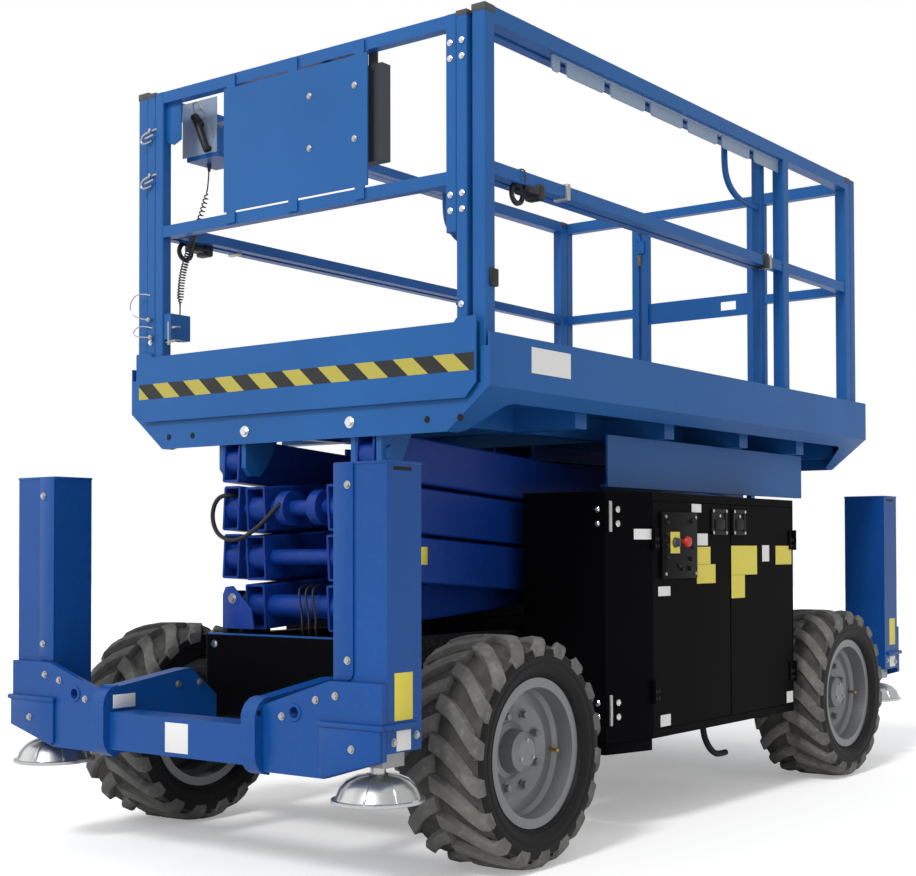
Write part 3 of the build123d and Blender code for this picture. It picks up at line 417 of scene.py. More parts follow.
# Gathers shapes of one finish on one body, and done() makes them one piece
class Shop:
    def __init__(self, name, body, finish):
        self.name, self.body, self.finish = name, body, finish
        self.bm = bmesh.new()

    def take(self, mesh):
        self.bm.from_mesh(mesh)
        bpy.data.meshes.remove(mesh)
        return self

    def add(self, other, matrix=None):
        if matrix is not None:
            bmesh.ops.transform(other, matrix=matrix, verts=other.verts)
        mesh = bpy.data.meshes.new("part")
        other.to_mesh(mesh)
        other.free()
        return self.take(mesh)

    def box(self, oneCorner, otherCorner, bevel=0.0):
        low, high = (Vector(map(pick, oneCorner, otherCorner)) for pick in (min, max))
        size = high - low
        piece = bmesh.new()
        bmesh.ops.create_cube(piece, size=1)
        for vertex in piece.verts:
            vertex.co = Vector((vertex.co[i] * size[i] + (low[i] + high[i]) / 2 for i in range(3)))
        soften(piece, piece.edges[:], bevel)
        return self.add(piece)

    def rod(self, start, end, radius, tip=None, sides=28, bevel=0.0):
        start, end = Vector(start), Vector(end)
        piece = bmesh.new()
        bmesh.ops.create_cone(piece, cap_ends=True, segments=sides, radius1=radius,
                              radius2=radius if tip is None else tip, depth=(end - start).length)
        rims = [edge for edge in piece.edges if any(len(face.verts) > 4 for face in edge.link_faces)]
        soften(piece, rims, bevel)
        return self.add(piece, Matrix.Translation((start + end) / 2) @ frameTo(end - start))

    # The outline is in the other two axes, in x, y, z order; low and high are along axis
    def plate(self, outline, low, high, axis, bevel=0.0):
        piece = bmesh.new()
        along = "xyz".index(axis)
        corners = []
        for point in outline:
            spot = list(point)
            spot.insert(along, low)
            corners.append(piece.verts.new(spot))
        piece.faces.new(corners)
        moved = bmesh.ops.extrude_face_region(piece, geom=piece.faces[:])
        shift = Vector((0, 0, 0))
        shift[along] = high - low
        far = [part for part in moved["geom"] if isinstance(part, bmesh.types.BMVert)]
        bmesh.ops.translate(piece, verts=far, vec=shift)
        bmesh.ops.recalc_face_normals(piece, faces=piece.faces)
        soften(piece, piece.edges[:], bevel)
        return self.add(piece)

    # The outline is (along the axis, radius), closed from its last point to its first
    def turned(self, outline, centre, axis, sides=48):
        piece = bmesh.new()
        rings = []
        for step in range(sides):
            turn = 2 * pi * step / sides
            rings.append([piece.verts.new((r * cos(turn), r * sin(turn), a)) for a, r in outline])
        count = len(outline)
        for step in range(sides):
            one, two = rings[step], rings[(step + 1) % sides]
            for i in range(count):
                j = (i + 1) % count
                if outline[i][1] or outline[j][1]:
                    piece.faces.new((one[i], one[j], two[j], two[i]))
        bmesh.ops.remove_doubles(piece, verts=piece.verts, dist=1e-6)
        bmesh.ops.dissolve_degenerate(piece, edges=piece.edges, dist=1e-6)
        bmesh.ops.recalc_face_normals(piece, faces=piece.faces)
        return self.add(piece, Matrix.Translation(centre) @ frameTo(axis))

    def tube(self, points, radius, sides=10, closed=False):
        curve = curveThrough("line", points, 8, closed)
        thicken(curve, radius, max(sides // 4 - 1, 1))
        item = addObject("line", curve)
        mesh = bakedMesh(item)
        bpy.data.objects.remove(item)
        return self.take(mesh)

    def done(self):
        return settle(ownMesh(self.name, self.bm, self.finish), self.body)


# Geometry Nodes: bolts on chosen spots, and one shape turned about X many times
boltSizes = {"headSides": 6, "washerSides": 20, "washerThick": 0.003, "washerShare": 1.35}


def startTree(name, inputs):
    tree = bpy.data.node_groups.new(name, "GeometryNodeTree")
    ids = {}
    for key, kind in inputs:
        ids[key] = tree.interface.new_socket(key, in_out="INPUT", socket_type=f"NodeSocket{kind}").identifier
    tree.interface.new_socket("Geometry", in_out="OUTPUT", socket_type="NodeSocketGeometry")
    return tree, ids, addNode(tree, "NodeGroupInput", -900, 0)


def placeShapes(tree, given, points, shape, turn):
    place = addNode(tree, "GeometryNodeInstanceOnPoints", 50, 0)
    real = addNode(tree, "GeometryNodeRealizeInstances", 250, 0)
    cover = addNode(tree, "GeometryNodeSetMaterial", 450, 0)
    out = addNode(tree, "NodeGroupOutput", 650, 0)
    linkAll(tree, (
        (points, place.inputs["Points"]),
        (shape, place.inputs["Instance"]),
        (turn, place.inputs["Rotation"]),
        (place.outputs[0], real.inputs[0]),
        (real.outputs[0], cover.inputs["Geometry"]),
        (given.outputs["Material"], cover.inputs["Material"]),
        (cover.outputs[0], out.inputs[0]),
    ))


def boltTree(sizes):
    tree, ids, given = startTree("boltSet", (
        ("Geometry", "Geometry"),
        ("headRadius", "Float"),
        ("headHeight", "Float"),
        ("washerRadius", "Float"),
        ("Material", "Material"),
    ))
    head = addNode(tree, "GeometryNodeMeshCylinder", -600, -200)
    washer = addNode(tree, "GeometryNodeMeshCylinder", -600, -500)
    head.inputs["Vertices"].default_value = sizes["headSides"]
    washer.inputs["Vertices"].default_value = sizes["washerSides"]
    washer.inputs["Depth"].default_value = sizes["washerThick"]
    half = addNode(tree, "ShaderNodeMath", -600, -380, operation="MULTIPLY")
    half.inputs[1].default_value = 0.5
    rise = addNode(tree, "ShaderNodeCombineXYZ", -450, -350)
    lift = addNode(tree, "GeometryNodeTransform", -350, -200)
    both = addNode(tree, "GeometryNodeJoinGeometry", -150, -250)
    facing = addNode(tree, "GeometryNodeInputNamedAttribute", -600, 200, data_type="FLOAT_VECTOR")
    facing.inputs["Name"].default_value = "facing"
    turn = addNode(tree, "FunctionNodeAlignRotationToVector", -350, 200, axis="Z")
    linkAll(tree, (
        (given.outputs["headRadius"], head.inputs["Radius"]),
        (given.outputs["headHeight"], head.inputs["Depth"]),
        (given.outputs["headHeight"], half.inputs[0]),
        (given.outputs["washerRadius"], washer.inputs["Radius"]),
        (half.outputs[0], rise.inputs["Z"]),
        (head.outputs["Mesh"], lift.inputs["Geometry"]),
        (rise.outputs[0], lift.inputs["Translation"]),
        (lift.outputs[0], both.inputs[0]),
        (washer.outputs["Mesh"], both.inputs[0]),
        (facing.outputs["Attribute"], turn.inputs["Vector"]),
    ))
    placeShapes(tree, given, given.outputs["Geometry"], both.outputs[0], turn.outputs[0])
    return tree, ids


def turnTree():
    inputs = (("Geometry", "Geometry"), ("count", "Int"), ("Material", "Material"))
    tree, ids, given = startTree("turnSet", inputs)
    spots = addNode(tree, "GeometryNodePoints", -600, 200)
    index = addNode(tree, "GeometryNodeInputIndex", -800, -200)
    share = addNode(tree, "ShaderNodeMath", -600, -200, operation="DIVIDE")
    angle = addNode(tree, "ShaderNodeMath", -450, -200, operation="MULTIPLY")
    angle.inputs[1].default_value = 2 * pi
    turn = addNode(tree, "ShaderNodeCombineXYZ", -300, -200)
    linkAll(tree, (
        (given.outputs["count"], spots.inputs["Count"]),
        (index.outputs[0], share.inputs[0]),
        (given.outputs["count"], share.inputs[1]),
        (share.outputs[0], angle.inputs[0]),
        (angle.outputs[0], turn.inputs["X"]),
    ))
    placeShapes(tree, given, spots.outputs[0], given.outputs["Geometry"], turn.outputs[0])
    return tree, ids


boltSet, boltIds = boltTree(boltSizes)
turnSet, turnIds = turnTree()


def throughNodes(item, tree, ids, values):
    modifier = item.modifiers.new("shape", "NODES")
    modifier.node_group = tree
    for key, value in values.items():
        modifier[ids[key]] = value
    made = bakedMesh(item)
    made.name = item.name
    item.modifiers.remove(modifier)
    item.data = made


# Each spot is (place, the way its head faces)
def bolts(name, body, spots, radius, height, finish):
    mesh = bpy.data.meshes.new(name)
    mesh.from_pydata([spot for spot, facing in spots], [], [])
    facings = mesh.attributes.new("facing", "FLOAT_VECTOR", "POINT")
    for index, (spot, facing) in enumerate(spots):
        facings.data[index].vector = facing
    item = addObject(name, mesh)
    throughNodes(item, boltSet, boltIds, {
        "headRadius": radius,
        "headHeight": height,
        "washerRadius": radius * boltSizes["washerShare"],
        "Material": paint[finish],
    })
    return settle(item, body)


# Wheels: a tyre with chevron lugs wrapped round its crown, ribbed walls, and nuts and a valve on each rim
wheelSizes = {
    "radius": 0.350,
    "carcass": 0.331,
    "halfWidth": 0.1525,
    "sides": 96,
    "midX": 0.7195,
    "axleY": {"front": -1.175, "rear": 1.125},
}
lugSizes = {
    "count": 18,
    "sweep": 0.135,
    "base": 0.066,
    "top": 0.049,
    "flat": 0.8,  # share of the top's width before its edge drops
    "edgeDrop": 0.002,
    "root": 0.004,
    "shoulder": 0.95,  # share of the half width where the lug turns down the wall
    "wallDepth": 0.012,
    "wallThick": 0.016,
}
rimSizes = {"nuts": 8, "nutCircle": 0.115, "nutX": 0.0465, "hubBolts": 3, "hubCircle": 0.036, "hubX": 0.0955,
            "valveFoot": (0.062, 0.172, -0.012), "valveTip": (0.098, 0.160, -0.012)}
# Along the axle as a share of the half width, then the radius
treadProfile = [(-0.96, 0.312), (-0.82, 0.325), (-0.45, 0.330), (0.45, 0.330), (0.82, 0.325), (0.96, 0.312),
                (0.92, 0.29), (-0.92, 0.29)]
wallProfile = [(0.96, 0.3121), (0.992, 0.296), (0.992, 0.279), (0.980, 0.275), (0.989, 0.271), (0.97, 0.252),
               (0.90, 0.238), (0.91, 0.234), (0.86, 0.229), (0.80, 0.226), (0.772, 0.2055), (0.70, 0.2055),
               (0.70, 0.3121)]


# One lug, from the middle of the tread out over the shoulder and down the wall
def lugMesh(side, wheel, sizes):
    bm = bmesh.new()
    half, top = wheel["halfWidth"], wheel["radius"]
    stations = [
        (-0.006, 0.00, top, 1.0),
        (0.25 * half, 0.16, top, 1.0),
        (0.5 * half, 0.38, top, 1.02),
        (0.75 * half, 0.68, top - 0.003, 1.08),
        (0.9 * half, 0.87, top - 0.008, 1.15),
        (0.985 * half, 0.97, top - 0.022, 1.2),
        (1.0 * half, 1.02, top - 0.042, 1.2),
        (0.992 * half, 1.04, top - 0.058, 1.05),
    ]
    rings = []
    for x, rise, high, wide in stations:
        over = x > sizes["shoulder"] * half
        floor = high - sizes["wallDepth"] if over else wheel["carcass"] - sizes["root"]
        inward = x - sizes["wallThick"] if over else x
        halfRing = ((sizes["base"], floor, inward), (sizes["top"], high - sizes["edgeDrop"], x),
                    (sizes["top"] * sizes["flat"], high, x))
        ring = []
        for across, r, out in halfRing + tuple((-across, r, out) for across, r, out in reversed(halfRing)):
            turn = (rise * sizes["sweep"] + across * wide / 2) / top
            ring.append(bm.verts.new((side * out, -r * sin(turn), r * cos(turn))))
        rings.append(ring)
    for one, two in zip(rings, rings[1:]):
        for i in range(6):
            bm.faces.new((one[i], one[(i + 1) % 6], two[(i + 1) % 6], two[i]))
    bm.faces.new(rings[0])
    bm.faces.new(rings[-1])
    bmesh.ops.recalc_face_normals(bm, faces=bm.faces)
    return bm


def makeTyre(name, side, centre, body, sizes):
    half = sizes["halfWidth"]
    # The carcass between the lugs takes the darker tread base, painted shade between the lugs
    tread = Shop(f"tyreTread_{name}", body, "shadedTreadBase")
    tread.turned([(x * half, r) for x, r in treadProfile], centre, (1, 0, 0), sizes["sides"])
    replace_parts(tread.done(), f"tyre_{name}")
    walls = Shop(f"tyreWall_{name}", body, "wallRubber")
    for way in (-1, 1):
        walls.turned([(way * x * half, r) for x, r in wallProfile], centre, (1, 0, 0), sizes["sides"])
    walls.done()
    for way in (-1, 1):
        lugs = ownMesh(f"tyreLugs_{name}_{'outer' if way == side else 'inner'}",
                       lugMesh(way, sizes, lugSizes), "treadRubber")
        throughNodes(lugs, turnSet, turnIds, {"count": lugSizes["count"], "Material": paint["treadRubber"]})
        if side < 0:
            lugs.data.transform(Matrix.Scale(-1, 4, (1, 0, 0)))
            lugs.data.flip_normals()
        stagger = pi / lugSizes["count"] if way < 0 else 0
        lugs.data.transform(Matrix.Translation(centre) @ Matrix.Rotation(stagger, 4, "X"))
        settle(lugs, body)


def dressRim(name, side, centre, body, sizes):
    def ring(out, circle, count, start):
        turns = [start + 2 * pi * step / count for step in range(count)]
        return [(centre + Vector((side * out, circle * cos(turn), circle * sin(turn))), (side, 0, 0))
                for turn in turns]

    nuts = ring(sizes["nutX"], sizes["nutCircle"], sizes["nuts"], pi / sizes["nuts"])
    bolts(f"wheelNuts_{name}", body, nuts, 0.011, 0.016, "rimGrey")
    bolts(f"hubBolts_{name}", body, ring(sizes["hubX"], sizes["hubCircle"], sizes["hubBolts"], pi / 2),
          0.005, 0.004, "zincSteel")
    foot, tip = (centre + Vector((side * x, y, z)) for x, y, z in (sizes["valveFoot"], sizes["valveTip"]))
    Shop(f"valve_{name}", body, "brassSpring").rod(foot, tip, 0.006, 0.005, 12).done()


for place, axleY in wheelSizes["axleY"].items():
    for side, hand in hands:
        name = f"{place}_{hand}"
        centre = Vector((side * wheelSizes["midX"], axleY, wheelSizes["radius"]))
        makeTyre(name, side, centre, bodyOfNode[f"tyre_{name}"], wheelSizes)
        dressRim(name, side, centre, bodyOfNode[f"rim_{name}"], rimSizes)
print("stage: wheels")

# Guard rails: a cap on each corner post
railSizes = {"x": 0.750, "frontY": -1.300, "rearY": 1.335, "top": 2.590, "capHalf": 0.0265, "capLow": 0.022,
             "capHigh": 0.003}
extensionSizes = {"x": 0.694, "frontY": -1.316, "faceY": -1.3378, "top": 2.575, "capHalf": 0.0215,
                  "capLow": 0.012, "capHigh": 0.006}


def capPost(shop, x, y, sizes):
    half = sizes["capHalf"]
    shop.box((x - half, y - half, sizes["top"] - sizes["capLow"]),
             (x + half, y + half, sizes["top"] + sizes["capHigh"]), 0.003)


for side, hand in hands:
    caps = Shop(f"railCaps_{hand}", "platform", "capGrey")
    for y in (railSizes["frontY"], railSizes["rearY"]):
        capPost(caps, side * railSizes["x"], y, railSizes)
    caps.done()
    caps = Shop(f"extensionCaps_{hand}", "extension", "capGrey")
    capPost(caps, side * extensionSizes["x"], extensionSizes["frontY"], extensionSizes)
    caps.done()

rackSizes = {"startY": -0.938, "firstEnd": -0.892, "endY": 0.704, "top": 2.543, "low": 2.490, "thick": 0.005,
             "notch": 0.040, "tabs": 6, "slope": 0.010,
             "stripThick": 0.013, "stripLow": 0.008, "stripHigh": 0.0005}


# Pale tabs in a row under the right top rail
def makeRack(sizes, x):
    rack = Shop("rackPlate", "platform", "paleBlue")
    edges = [(sizes["startY"], sizes["firstEnd"])]
    step = (sizes["endY"] - sizes["firstEnd"]) / sizes["tabs"]
    for count in range(sizes["tabs"]):
        start = sizes["firstEnd"] + step * count + sizes["notch"]
        edges.append((start, start + step - sizes["notch"]))
    top, low, slope, half = sizes["top"], sizes["low"], sizes["slope"], sizes["thick"] / 2
    for start, end in edges:
        rack.plate([(start, top), (start, low + slope), (start + slope, low), (end - slope, low),
                    (end, low + slope), (end, top)], x - half, x + half, "x")
    rack.box((x - sizes["stripThick"] / 2, sizes["startY"], top - sizes["stripLow"]),
             (x + sizes["stripThick"] / 2, sizes["endY"], top + sizes["stripHigh"]), 0.001)
    rack.done()


makeRack(rackSizes, railSizes["x"])
print("stage: rails")

# Roll-out deck's front: the hazard band, the apron's bolts and dark discs painted as the shade in its holes,
# and the bolts of the front plate
bandSizes = {"faceY": -1.349, "left": -0.742, "right": 0.750, "low": 1.492, "high": 1.545, "thick": 0.0006}
apronSizes = {"faceY": -1.335, "bolts": ((-0.225, 1.357), (0.245, 1.363)),
              "holes": (-0.60, -0.48, 0.56, 0.687), "holeZ": 1.355}
plateSizes = {"faceY": -1.340, "boltX": (0.075, 0.27), "boltZ": (2.26, 2.43)}
band = Shop("hazardBand", "extension", "hazardBars")
band.box((bandSizes["left"], bandSizes["faceY"] - bandSizes["thick"], bandSizes["low"]),
         (bandSizes["right"], bandSizes["faceY"] + 0.0001, bandSizes["high"]))
band.done()
apronY, holeZ = apronSizes["faceY"], apronSizes["holeZ"]
apronSpots = [((x, apronY, z), forward) for x, z in apronSizes["bolts"]]
bolts("apronBolts", "platform", apronSpots, 0.014, 0.010, "brightSteel")
# Dark discs on the apron where its holes are, painted shade inside the holes
holes = Shop("apronHoleShade", "platform", "darkPlastic")
for x in apronSizes["holes"]:
    holes.rod((x, apronY - 0.0006, holeZ), (x, apronY + 0.002, holeZ), 0.011, None, 20)
holes.done()
plateSpots = [((x, plateSizes["faceY"], z), forward)
              for x in plateSizes["boltX"] for z in plateSizes["boltZ"]]
bolts("plateBolts", "extension", plateSpots, 0.008, 0.005, "zincSteel")

# Platform controls: a light back panel on the blue tray, with keys and a stop on top
controlSizes = {"keyX": (-0.620, -0.600, -0.520, -0.500), "keyY": -1.120, "stop": (-0.500, -1.110),
                "topZ": 2.499}
trayLow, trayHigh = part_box("control_box")
backPanel = Shop("controlBack", "extension", "paleBlue")
backPanel.box((trayLow.x + 0.015, trayLow.y - 0.0022, trayLow.z + 0.015),
              (trayHigh.x - 0.004, trayLow.y + 0.001, trayHigh.z - 0.006), 0.001)
backPanel.done()
topZ = controlSizes["topZ"]
keys = Shop("controlKeys", "extension", "capGrey")
for x in controlSizes["keyX"]:
    keys.rod((x, controlSizes["keyY"], topZ), (x, controlSizes["keyY"], topZ + 0.009), 0.007, 0.006, 16)
keys.done()
stopButton = Shop("platformStop", "extension", "signRed")
stopButton.rod((*controlSizes["stop"], topZ), (*controlSizes["stop"], topZ + 0.007), 0.016, 0.014, 24, 0.003)
stopButton.done()

# Curly cord: a helix round the route, with straight tails
cordSizes = {"wire": 0.0050, "loose": 0.0105, "dense": 0.0130, "loosePitch": 0.0165, "densePitch": 0.0100,
             "perTurn": 12, "topTail": 0.095, "looseRun": 0.10, "lowTail": 0.035, "ease": 0.03}
cordRoute = [(-0.600, -1.150, 2.3497), (-0.600, -1.150, 2.270), (-0.606, -1.190, 2.140),
             (-0.612, -1.242, 2.010), (-0.616, -1.272, 1.900), (-0.616, -1.272, 1.7903)]


def routePoints(route):
    item = addObject("cordRoute", curveThrough("cordRoute", route, 24))
    mesh = bakedMesh(item)
    points = [vertex.co.copy() for vertex in mesh.vertices]
    bpy.data.objects.remove(item)
    bpy.data.meshes.remove(mesh)
    return points


def makeCord(sizes, route):
    points = routePoints(route)
    marks = [0.0]
    for one, two in zip(points, points[1:]):
        marks.append(marks[-1] + (two - one).length)
    whole = marks[-1]

    def at(distance):
        for i in range(len(points) - 1):
            if distance <= marks[i + 1]:
                share = (distance - marks[i]) / max(marks[i + 1] - marks[i], 1e-9)
                return points[i].lerp(points[i + 1], share), (points[i + 1] - points[i]).normalized()
        return points[-1], (points[-1] - points[-2]).normalized()

    line = [at(0)[0], at(sizes["topTail"] * 0.5)[0]]
    distance, turn = sizes["topTail"], 0.0
    while distance < whole - sizes["lowTail"]:
        spot, ahead = at(distance)
        across = ahead.cross(Vector((0, 1, 0))).normalized()
        other = ahead.cross(across)
        share = min(max((distance - sizes["topTail"] - sizes["looseRun"]) / sizes["ease"], 0), 1)
        outer = sizes["loose"] + (sizes["dense"] - sizes["loose"]) * share
        pitch = sizes["loosePitch"] + (sizes["densePitch"] - sizes["loosePitch"]) * share
        edge = min(distance - sizes["topTail"], whole - sizes["lowTail"] - distance)
        spread = (outer - sizes["wire"] / 2) * min(1, edge / sizes["ease"] + 0.02)
        line.append(spot + spread * (across * cos(turn) + other * sin(turn)))
        turn += 2 * pi / sizes["perTurn"]
        distance += pitch / sizes["perTurn"]
    line += [at(whole - sizes["lowTail"] * 0.5)[0], at(whole)[0]]
    curve = curveThrough("curlyCord", line, 2)
    thicken(curve, sizes["wire"] / 2, 1)
    curve.materials.append(paint["hoseRubber"])
    item = addObject("curlyCord", curve)
    settle(item, "extension")
    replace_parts(item, "control_cord")


makeCord(cordSizes, cordRoute)
cordFoot = Vector((-0.600, -1.150, 2.350))
relief = Shop("cordRelief", "extension", "hoseRubber")
relief.rod(cordFoot, cordFoot - Vector((0, 0, 0.025)), 0.009, 0.0045, 20).done()
print("stage: roll-out deck and cord")

# Outriggers: bell pads, column covers and caps, the ledge round each foot, lug ends, bolts and blank signs
outSizes = {"columnX": 0.706, "columnY": 1.731, "halfWide": 0.095, "halfDeep": 0.0725, "armY": 1.825}
coverSizes = {"inner": 0.611, "outer": 0.683, "low": 0.602, "top": 1.198, "thick": 0.006}
capSizes = {"past": 0.002, "low": 1.193, "high": 1.201}
slotSizes = {"front": 0.045, "back": 0.030, "low": 1.176, "high": 1.186}
ledgeSizes = {"low": 0.474, "high": 0.490, "inner": 0.575, "out": 0.015, "wrap": 0.012, "plateThick": 0.009}
lugPlate = {"inner": 0.301, "outer": 0.357, "midY": 1.800, "reach": 0.059, "topZ": 0.482, "lowZ": 0.378,
            "round": 0.060, "holeY": 1.842, "holeZ": 0.498, "boltY": (1.557, 1.466), "boltZ": 0.527,
            "armX": (0.300, 0.355)}
quarterTurn = [(0.0, 1.0), (0.383, 0.924), (0.707, 0.707), (0.924, 0.383), (1.0, 0.0)]
padSizes = {"low": 0.266, "ribs": 8, "ribHalf": 0.0035}
padProfile = [(0.0995, 0.0), (0.0995, 0.021), (0.078, 0.021), (0.074, 0.036), (0.070, 0.062), (0.058, 0.088),
              (0.040, 0.106), (0.020, 0.115), (0.012, 0.120), (0.010, 0.130), (0.002, 0.130), (0.0, 0.126),
              (0.008, 0.112), (0.018, 0.108), (0.036, 0.098), (0.052, 0.082), (0.062, 0.060), (0.064, 0.0)]
ribProfile = [(0.030, 0.078), (0.062, 0.0735), (0.092, 0.0605), (0.111, 0.042), (0.120, 0.0215), (0.122, 0.012),
              (0.116, 0.012), (0.112, 0.022), (0.102, 0.038), (0.084, 0.055), (0.060, 0.068), (0.030, 0.071)]
outBolts = {"face": ((0.664, 1.8095, 1.138), (0.664, 1.8095, 0.657), (0.633, 1.825, 0.560),
                     (0.560, 1.825, 0.545), (0.430, 1.825, 0.492), (0.700, 1.834, 0.420)),
            "side": ((0.801, 1.776, 0.440), (0.801, 1.681, 0.452)), "ring": (0.480, 0.506)}
ringProfile = [(0.0, 0.0165), (0.004, 0.0165), (0.004, 0.024), (0.0, 0.026)]


def padRib(sizes):
    rib = bmesh.new()
    walls = [[rib.verts.new((r, way * sizes["ribHalf"], z)) for r, z in ribProfile] for way in (-1, 1)]
    rib.faces.new(walls[0])
    rib.faces.new(list(reversed(walls[1])))
    for i in range(len(ribProfile)):
        j = (i + 1) % len(ribProfile)
        rib.faces.new((walls[0][i], walls[1][i], walls[1][j], walls[0][j]))
    bmesh.ops.recalc_face_normals(rib, faces=rib.faces)
    return rib


def makePad(name, x, y, sizes):
    pad = Shop(f"padBell_{name}", f"leg_{name}", "padSilver")
    pad.turned(padProfile, (x, y, sizes["low"]), (0, 0, 1), 64)
    for step in range(sizes["ribs"]):
        turn = Matrix.Rotation(2 * pi * (step + 0.5) / sizes["ribs"], 4, "Z")
        pad.add(padRib(sizes), Matrix.Translation((x, y, sizes["low"])) @ turn)
    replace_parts(pad.done(), f"pad_{name}")


def coverColumn(name, end, side, sizes):
    x, y = side * sizes["columnX"], end * sizes["columnY"]
    face, outX = end * (sizes["columnY"] + sizes["halfDeep"]), x + side * sizes["halfWide"]
    inner, outer, low, top = (coverSizes[key] for key in ("inner", "outer", "low", "top"))
    outline = [(inner, top), (inner, low), (outer - 0.020, low), (outer - 0.006, low + 0.006),
               (outer, low + 0.020), (outer, top)]
    cover = Shop(f"columnCover_{name}", "chassis", "outriggerBlue")
    cover.plate([(side * across, z) for across, z in outline],
                face, face + end * coverSizes["thick"], "y", 0.0012)
    cover.done()
    wide, deep = sizes["halfWide"] + capSizes["past"], sizes["halfDeep"] + capSizes["past"]
    cap = Shop(f"columnCap_{name}", "chassis", "outriggerBlue")
    cap.box((x - wide, y - deep, capSizes["low"]), (x + wide, y + deep, capSizes["high"]), 0.002).done()
    # A dark thin box on the column's outer face, painted shade inside its slot
    slot = Shop(f"columnSlotShade_{name}", "chassis", "darkPlastic")
    slot.box((outX - side * 0.002, y - slotSizes["front"], slotSizes["low"]),
             (outX + side * 0.0006, y + slotSizes["back"], slotSizes["high"])).done()


def makeLedge(name, end, side, sizes):
    outX, armFace = side * (sizes["columnX"] + sizes["halfWide"]), end * sizes["armY"]
    low, high = ledgeSizes["low"], ledgeSizes["high"]
    wrap = outX + side * ledgeSizes["wrap"]
    ledge = Shop(f"footLedge_{name}", "chassis", "outriggerBlue")
    ledge.box((side * ledgeSizes["inner"], armFace - end * 0.001, low),
              (wrap, armFace + end * ledgeSizes["out"], high), 0.006)
    ledge.box((outX - side * 0.001, armFace, low), (wrap, end * (sizes["columnY"] - 0.05), high), 0.005)
    footPlate = [(0.580, 0.345), (0.600, 0.338), (0.800, 0.392), (0.800, low + 0.002), (0.580, low + 0.002)]
    ledge.plate([(side * x, z) for x, z in footPlate], armFace - end * 0.001,
                armFace + end * ledgeSizes["plateThick"], "y", 0.001)
    mid, reach, rounding = (lugPlate[key] for key in ("midY", "reach", "round"))
    outline = [(end * (mid + reach * a), lugPlate["topZ"] + rounding * b) for a, b in quarterTurn]
    outline += [(end * (mid + reach * a), lugPlate["lowZ"] - rounding * b) for a, b in reversed(quarterTurn)]
    ledge.plate(outline, side * lugPlate["inner"], side * lugPlate["outer"], "x")
    ledge.done()
    # Dark discs on both faces of the lug plate, painted shade inside its hole
    lugHoleShade = Shop(f"lugHoleShade_{name}", "chassis", "darkPlastic")
    for face, way in ((lugPlate["outer"], 1), (lugPlate["inner"], -1)):
        lugHoleShade.rod((side * (face - way * 0.001), end * lugPlate["holeY"], lugPlate["holeZ"]),
                    (side * (face + way * 0.0008), end * lugPlate["holeY"], lugPlate["holeZ"]), 0.008, None, 20)
    lugHoleShade.done()


def boltColumn(name, end, side, sizes):
    spots = [((side * x, end * y, z), (0, end, 0)) for x, y, z in outBolts["face"]]
    spots += [((side * x, end * y, z), (side, 0, 0)) for x, y, z in outBolts["side"]]
    for y in lugPlate["boltY"]:
        for x, way in zip(lugPlate["armX"], (-side, side)):
            spots.append(((side * x, end * y, lugPlate["boltZ"]), (way, 0, 0)))
    bolts(f"outriggerBolts_{name}", "chassis", spots, 0.0085, 0.007, "zincSteel")
    x, z = outBolts["ring"]
    ring = Shop(f"tieRing_{name}", "chassis", "outriggerBlue")
    ring.turned(ringProfile, (side * x, end * sizes["armY"], z), (0, end, 0), 32).done()


for end, place in ((-1, "front"), (1, "rear")):
    for side, hand in hands:
        name = f"{place}_{hand}"
        makePad(name, side * outSizes["columnX"], end * outSizes["columnY"], padSizes)
        coverColumn(name, end, side, outSizes)
        makeLedge(name, end, side, outSizes)
        boltColumn(name, end, side, outSizes)

footSigns = {
    "signYellow": (((0.8002, -1.773, 0.497), (0.8018, -1.697, 0.626)),
                   ((0.8002, 1.712, 0.520), (0.8018, 1.778, 0.640))),
    "signWhite": (((0.8002, -1.765, 0.415), (0.8018, -1.705, 0.470)),
                  ((0.8002, 1.712, 0.420), (0.8018, 1.778, 0.468)),
                  ((-0.045, -1.8358, 0.357), (0.055, -1.8348, 0.446)),
                  ((-0.3000, -1.822, 0.470), (-0.2975, -1.736, 0.512))),
}
for finish, corners in footSigns.items():
    signs = Shop(f"{finish}_chassis", "chassis", finish)
    for lowCorner, highCorner in corners:
        signs.box(lowCorner, highCorner, 0.0003)
    signs.done()
print("stage: outriggers")

# Control panel on the right front door: dials, a key switch on its yellow plate, a stop and corner screws
doorSizes = {"faceX": 0.800, "frontY": -0.405, "rearY": 0.705}
panelSizes = {"x": 0.812, "frontY": -0.352, "rearY": -0.106, "low": 0.856, "high": 1.090, "step": 0.012,
              "dials": ((-0.328, 1.052), (-0.328, 1.012), (-0.328, 0.972), (-0.328, 0.932), (-0.160, 0.925),
                        (-0.150, 0.970), (-0.245, 0.900), (-0.225, 0.890), (-0.165, 0.890), (-0.150, 1.060)),
              "key": (-0.275, 0.983), "stop": (-0.215, 0.985), "screwY": (-0.335, -0.123),
              "screwZ": (0.873, 1.073)}


def knob(shop, spot, start, end, radius, tip=None, sides=28, bevel=0.0):
    return shop.rod((start, *spot), (end, *spot), radius, tip, sides, bevel)


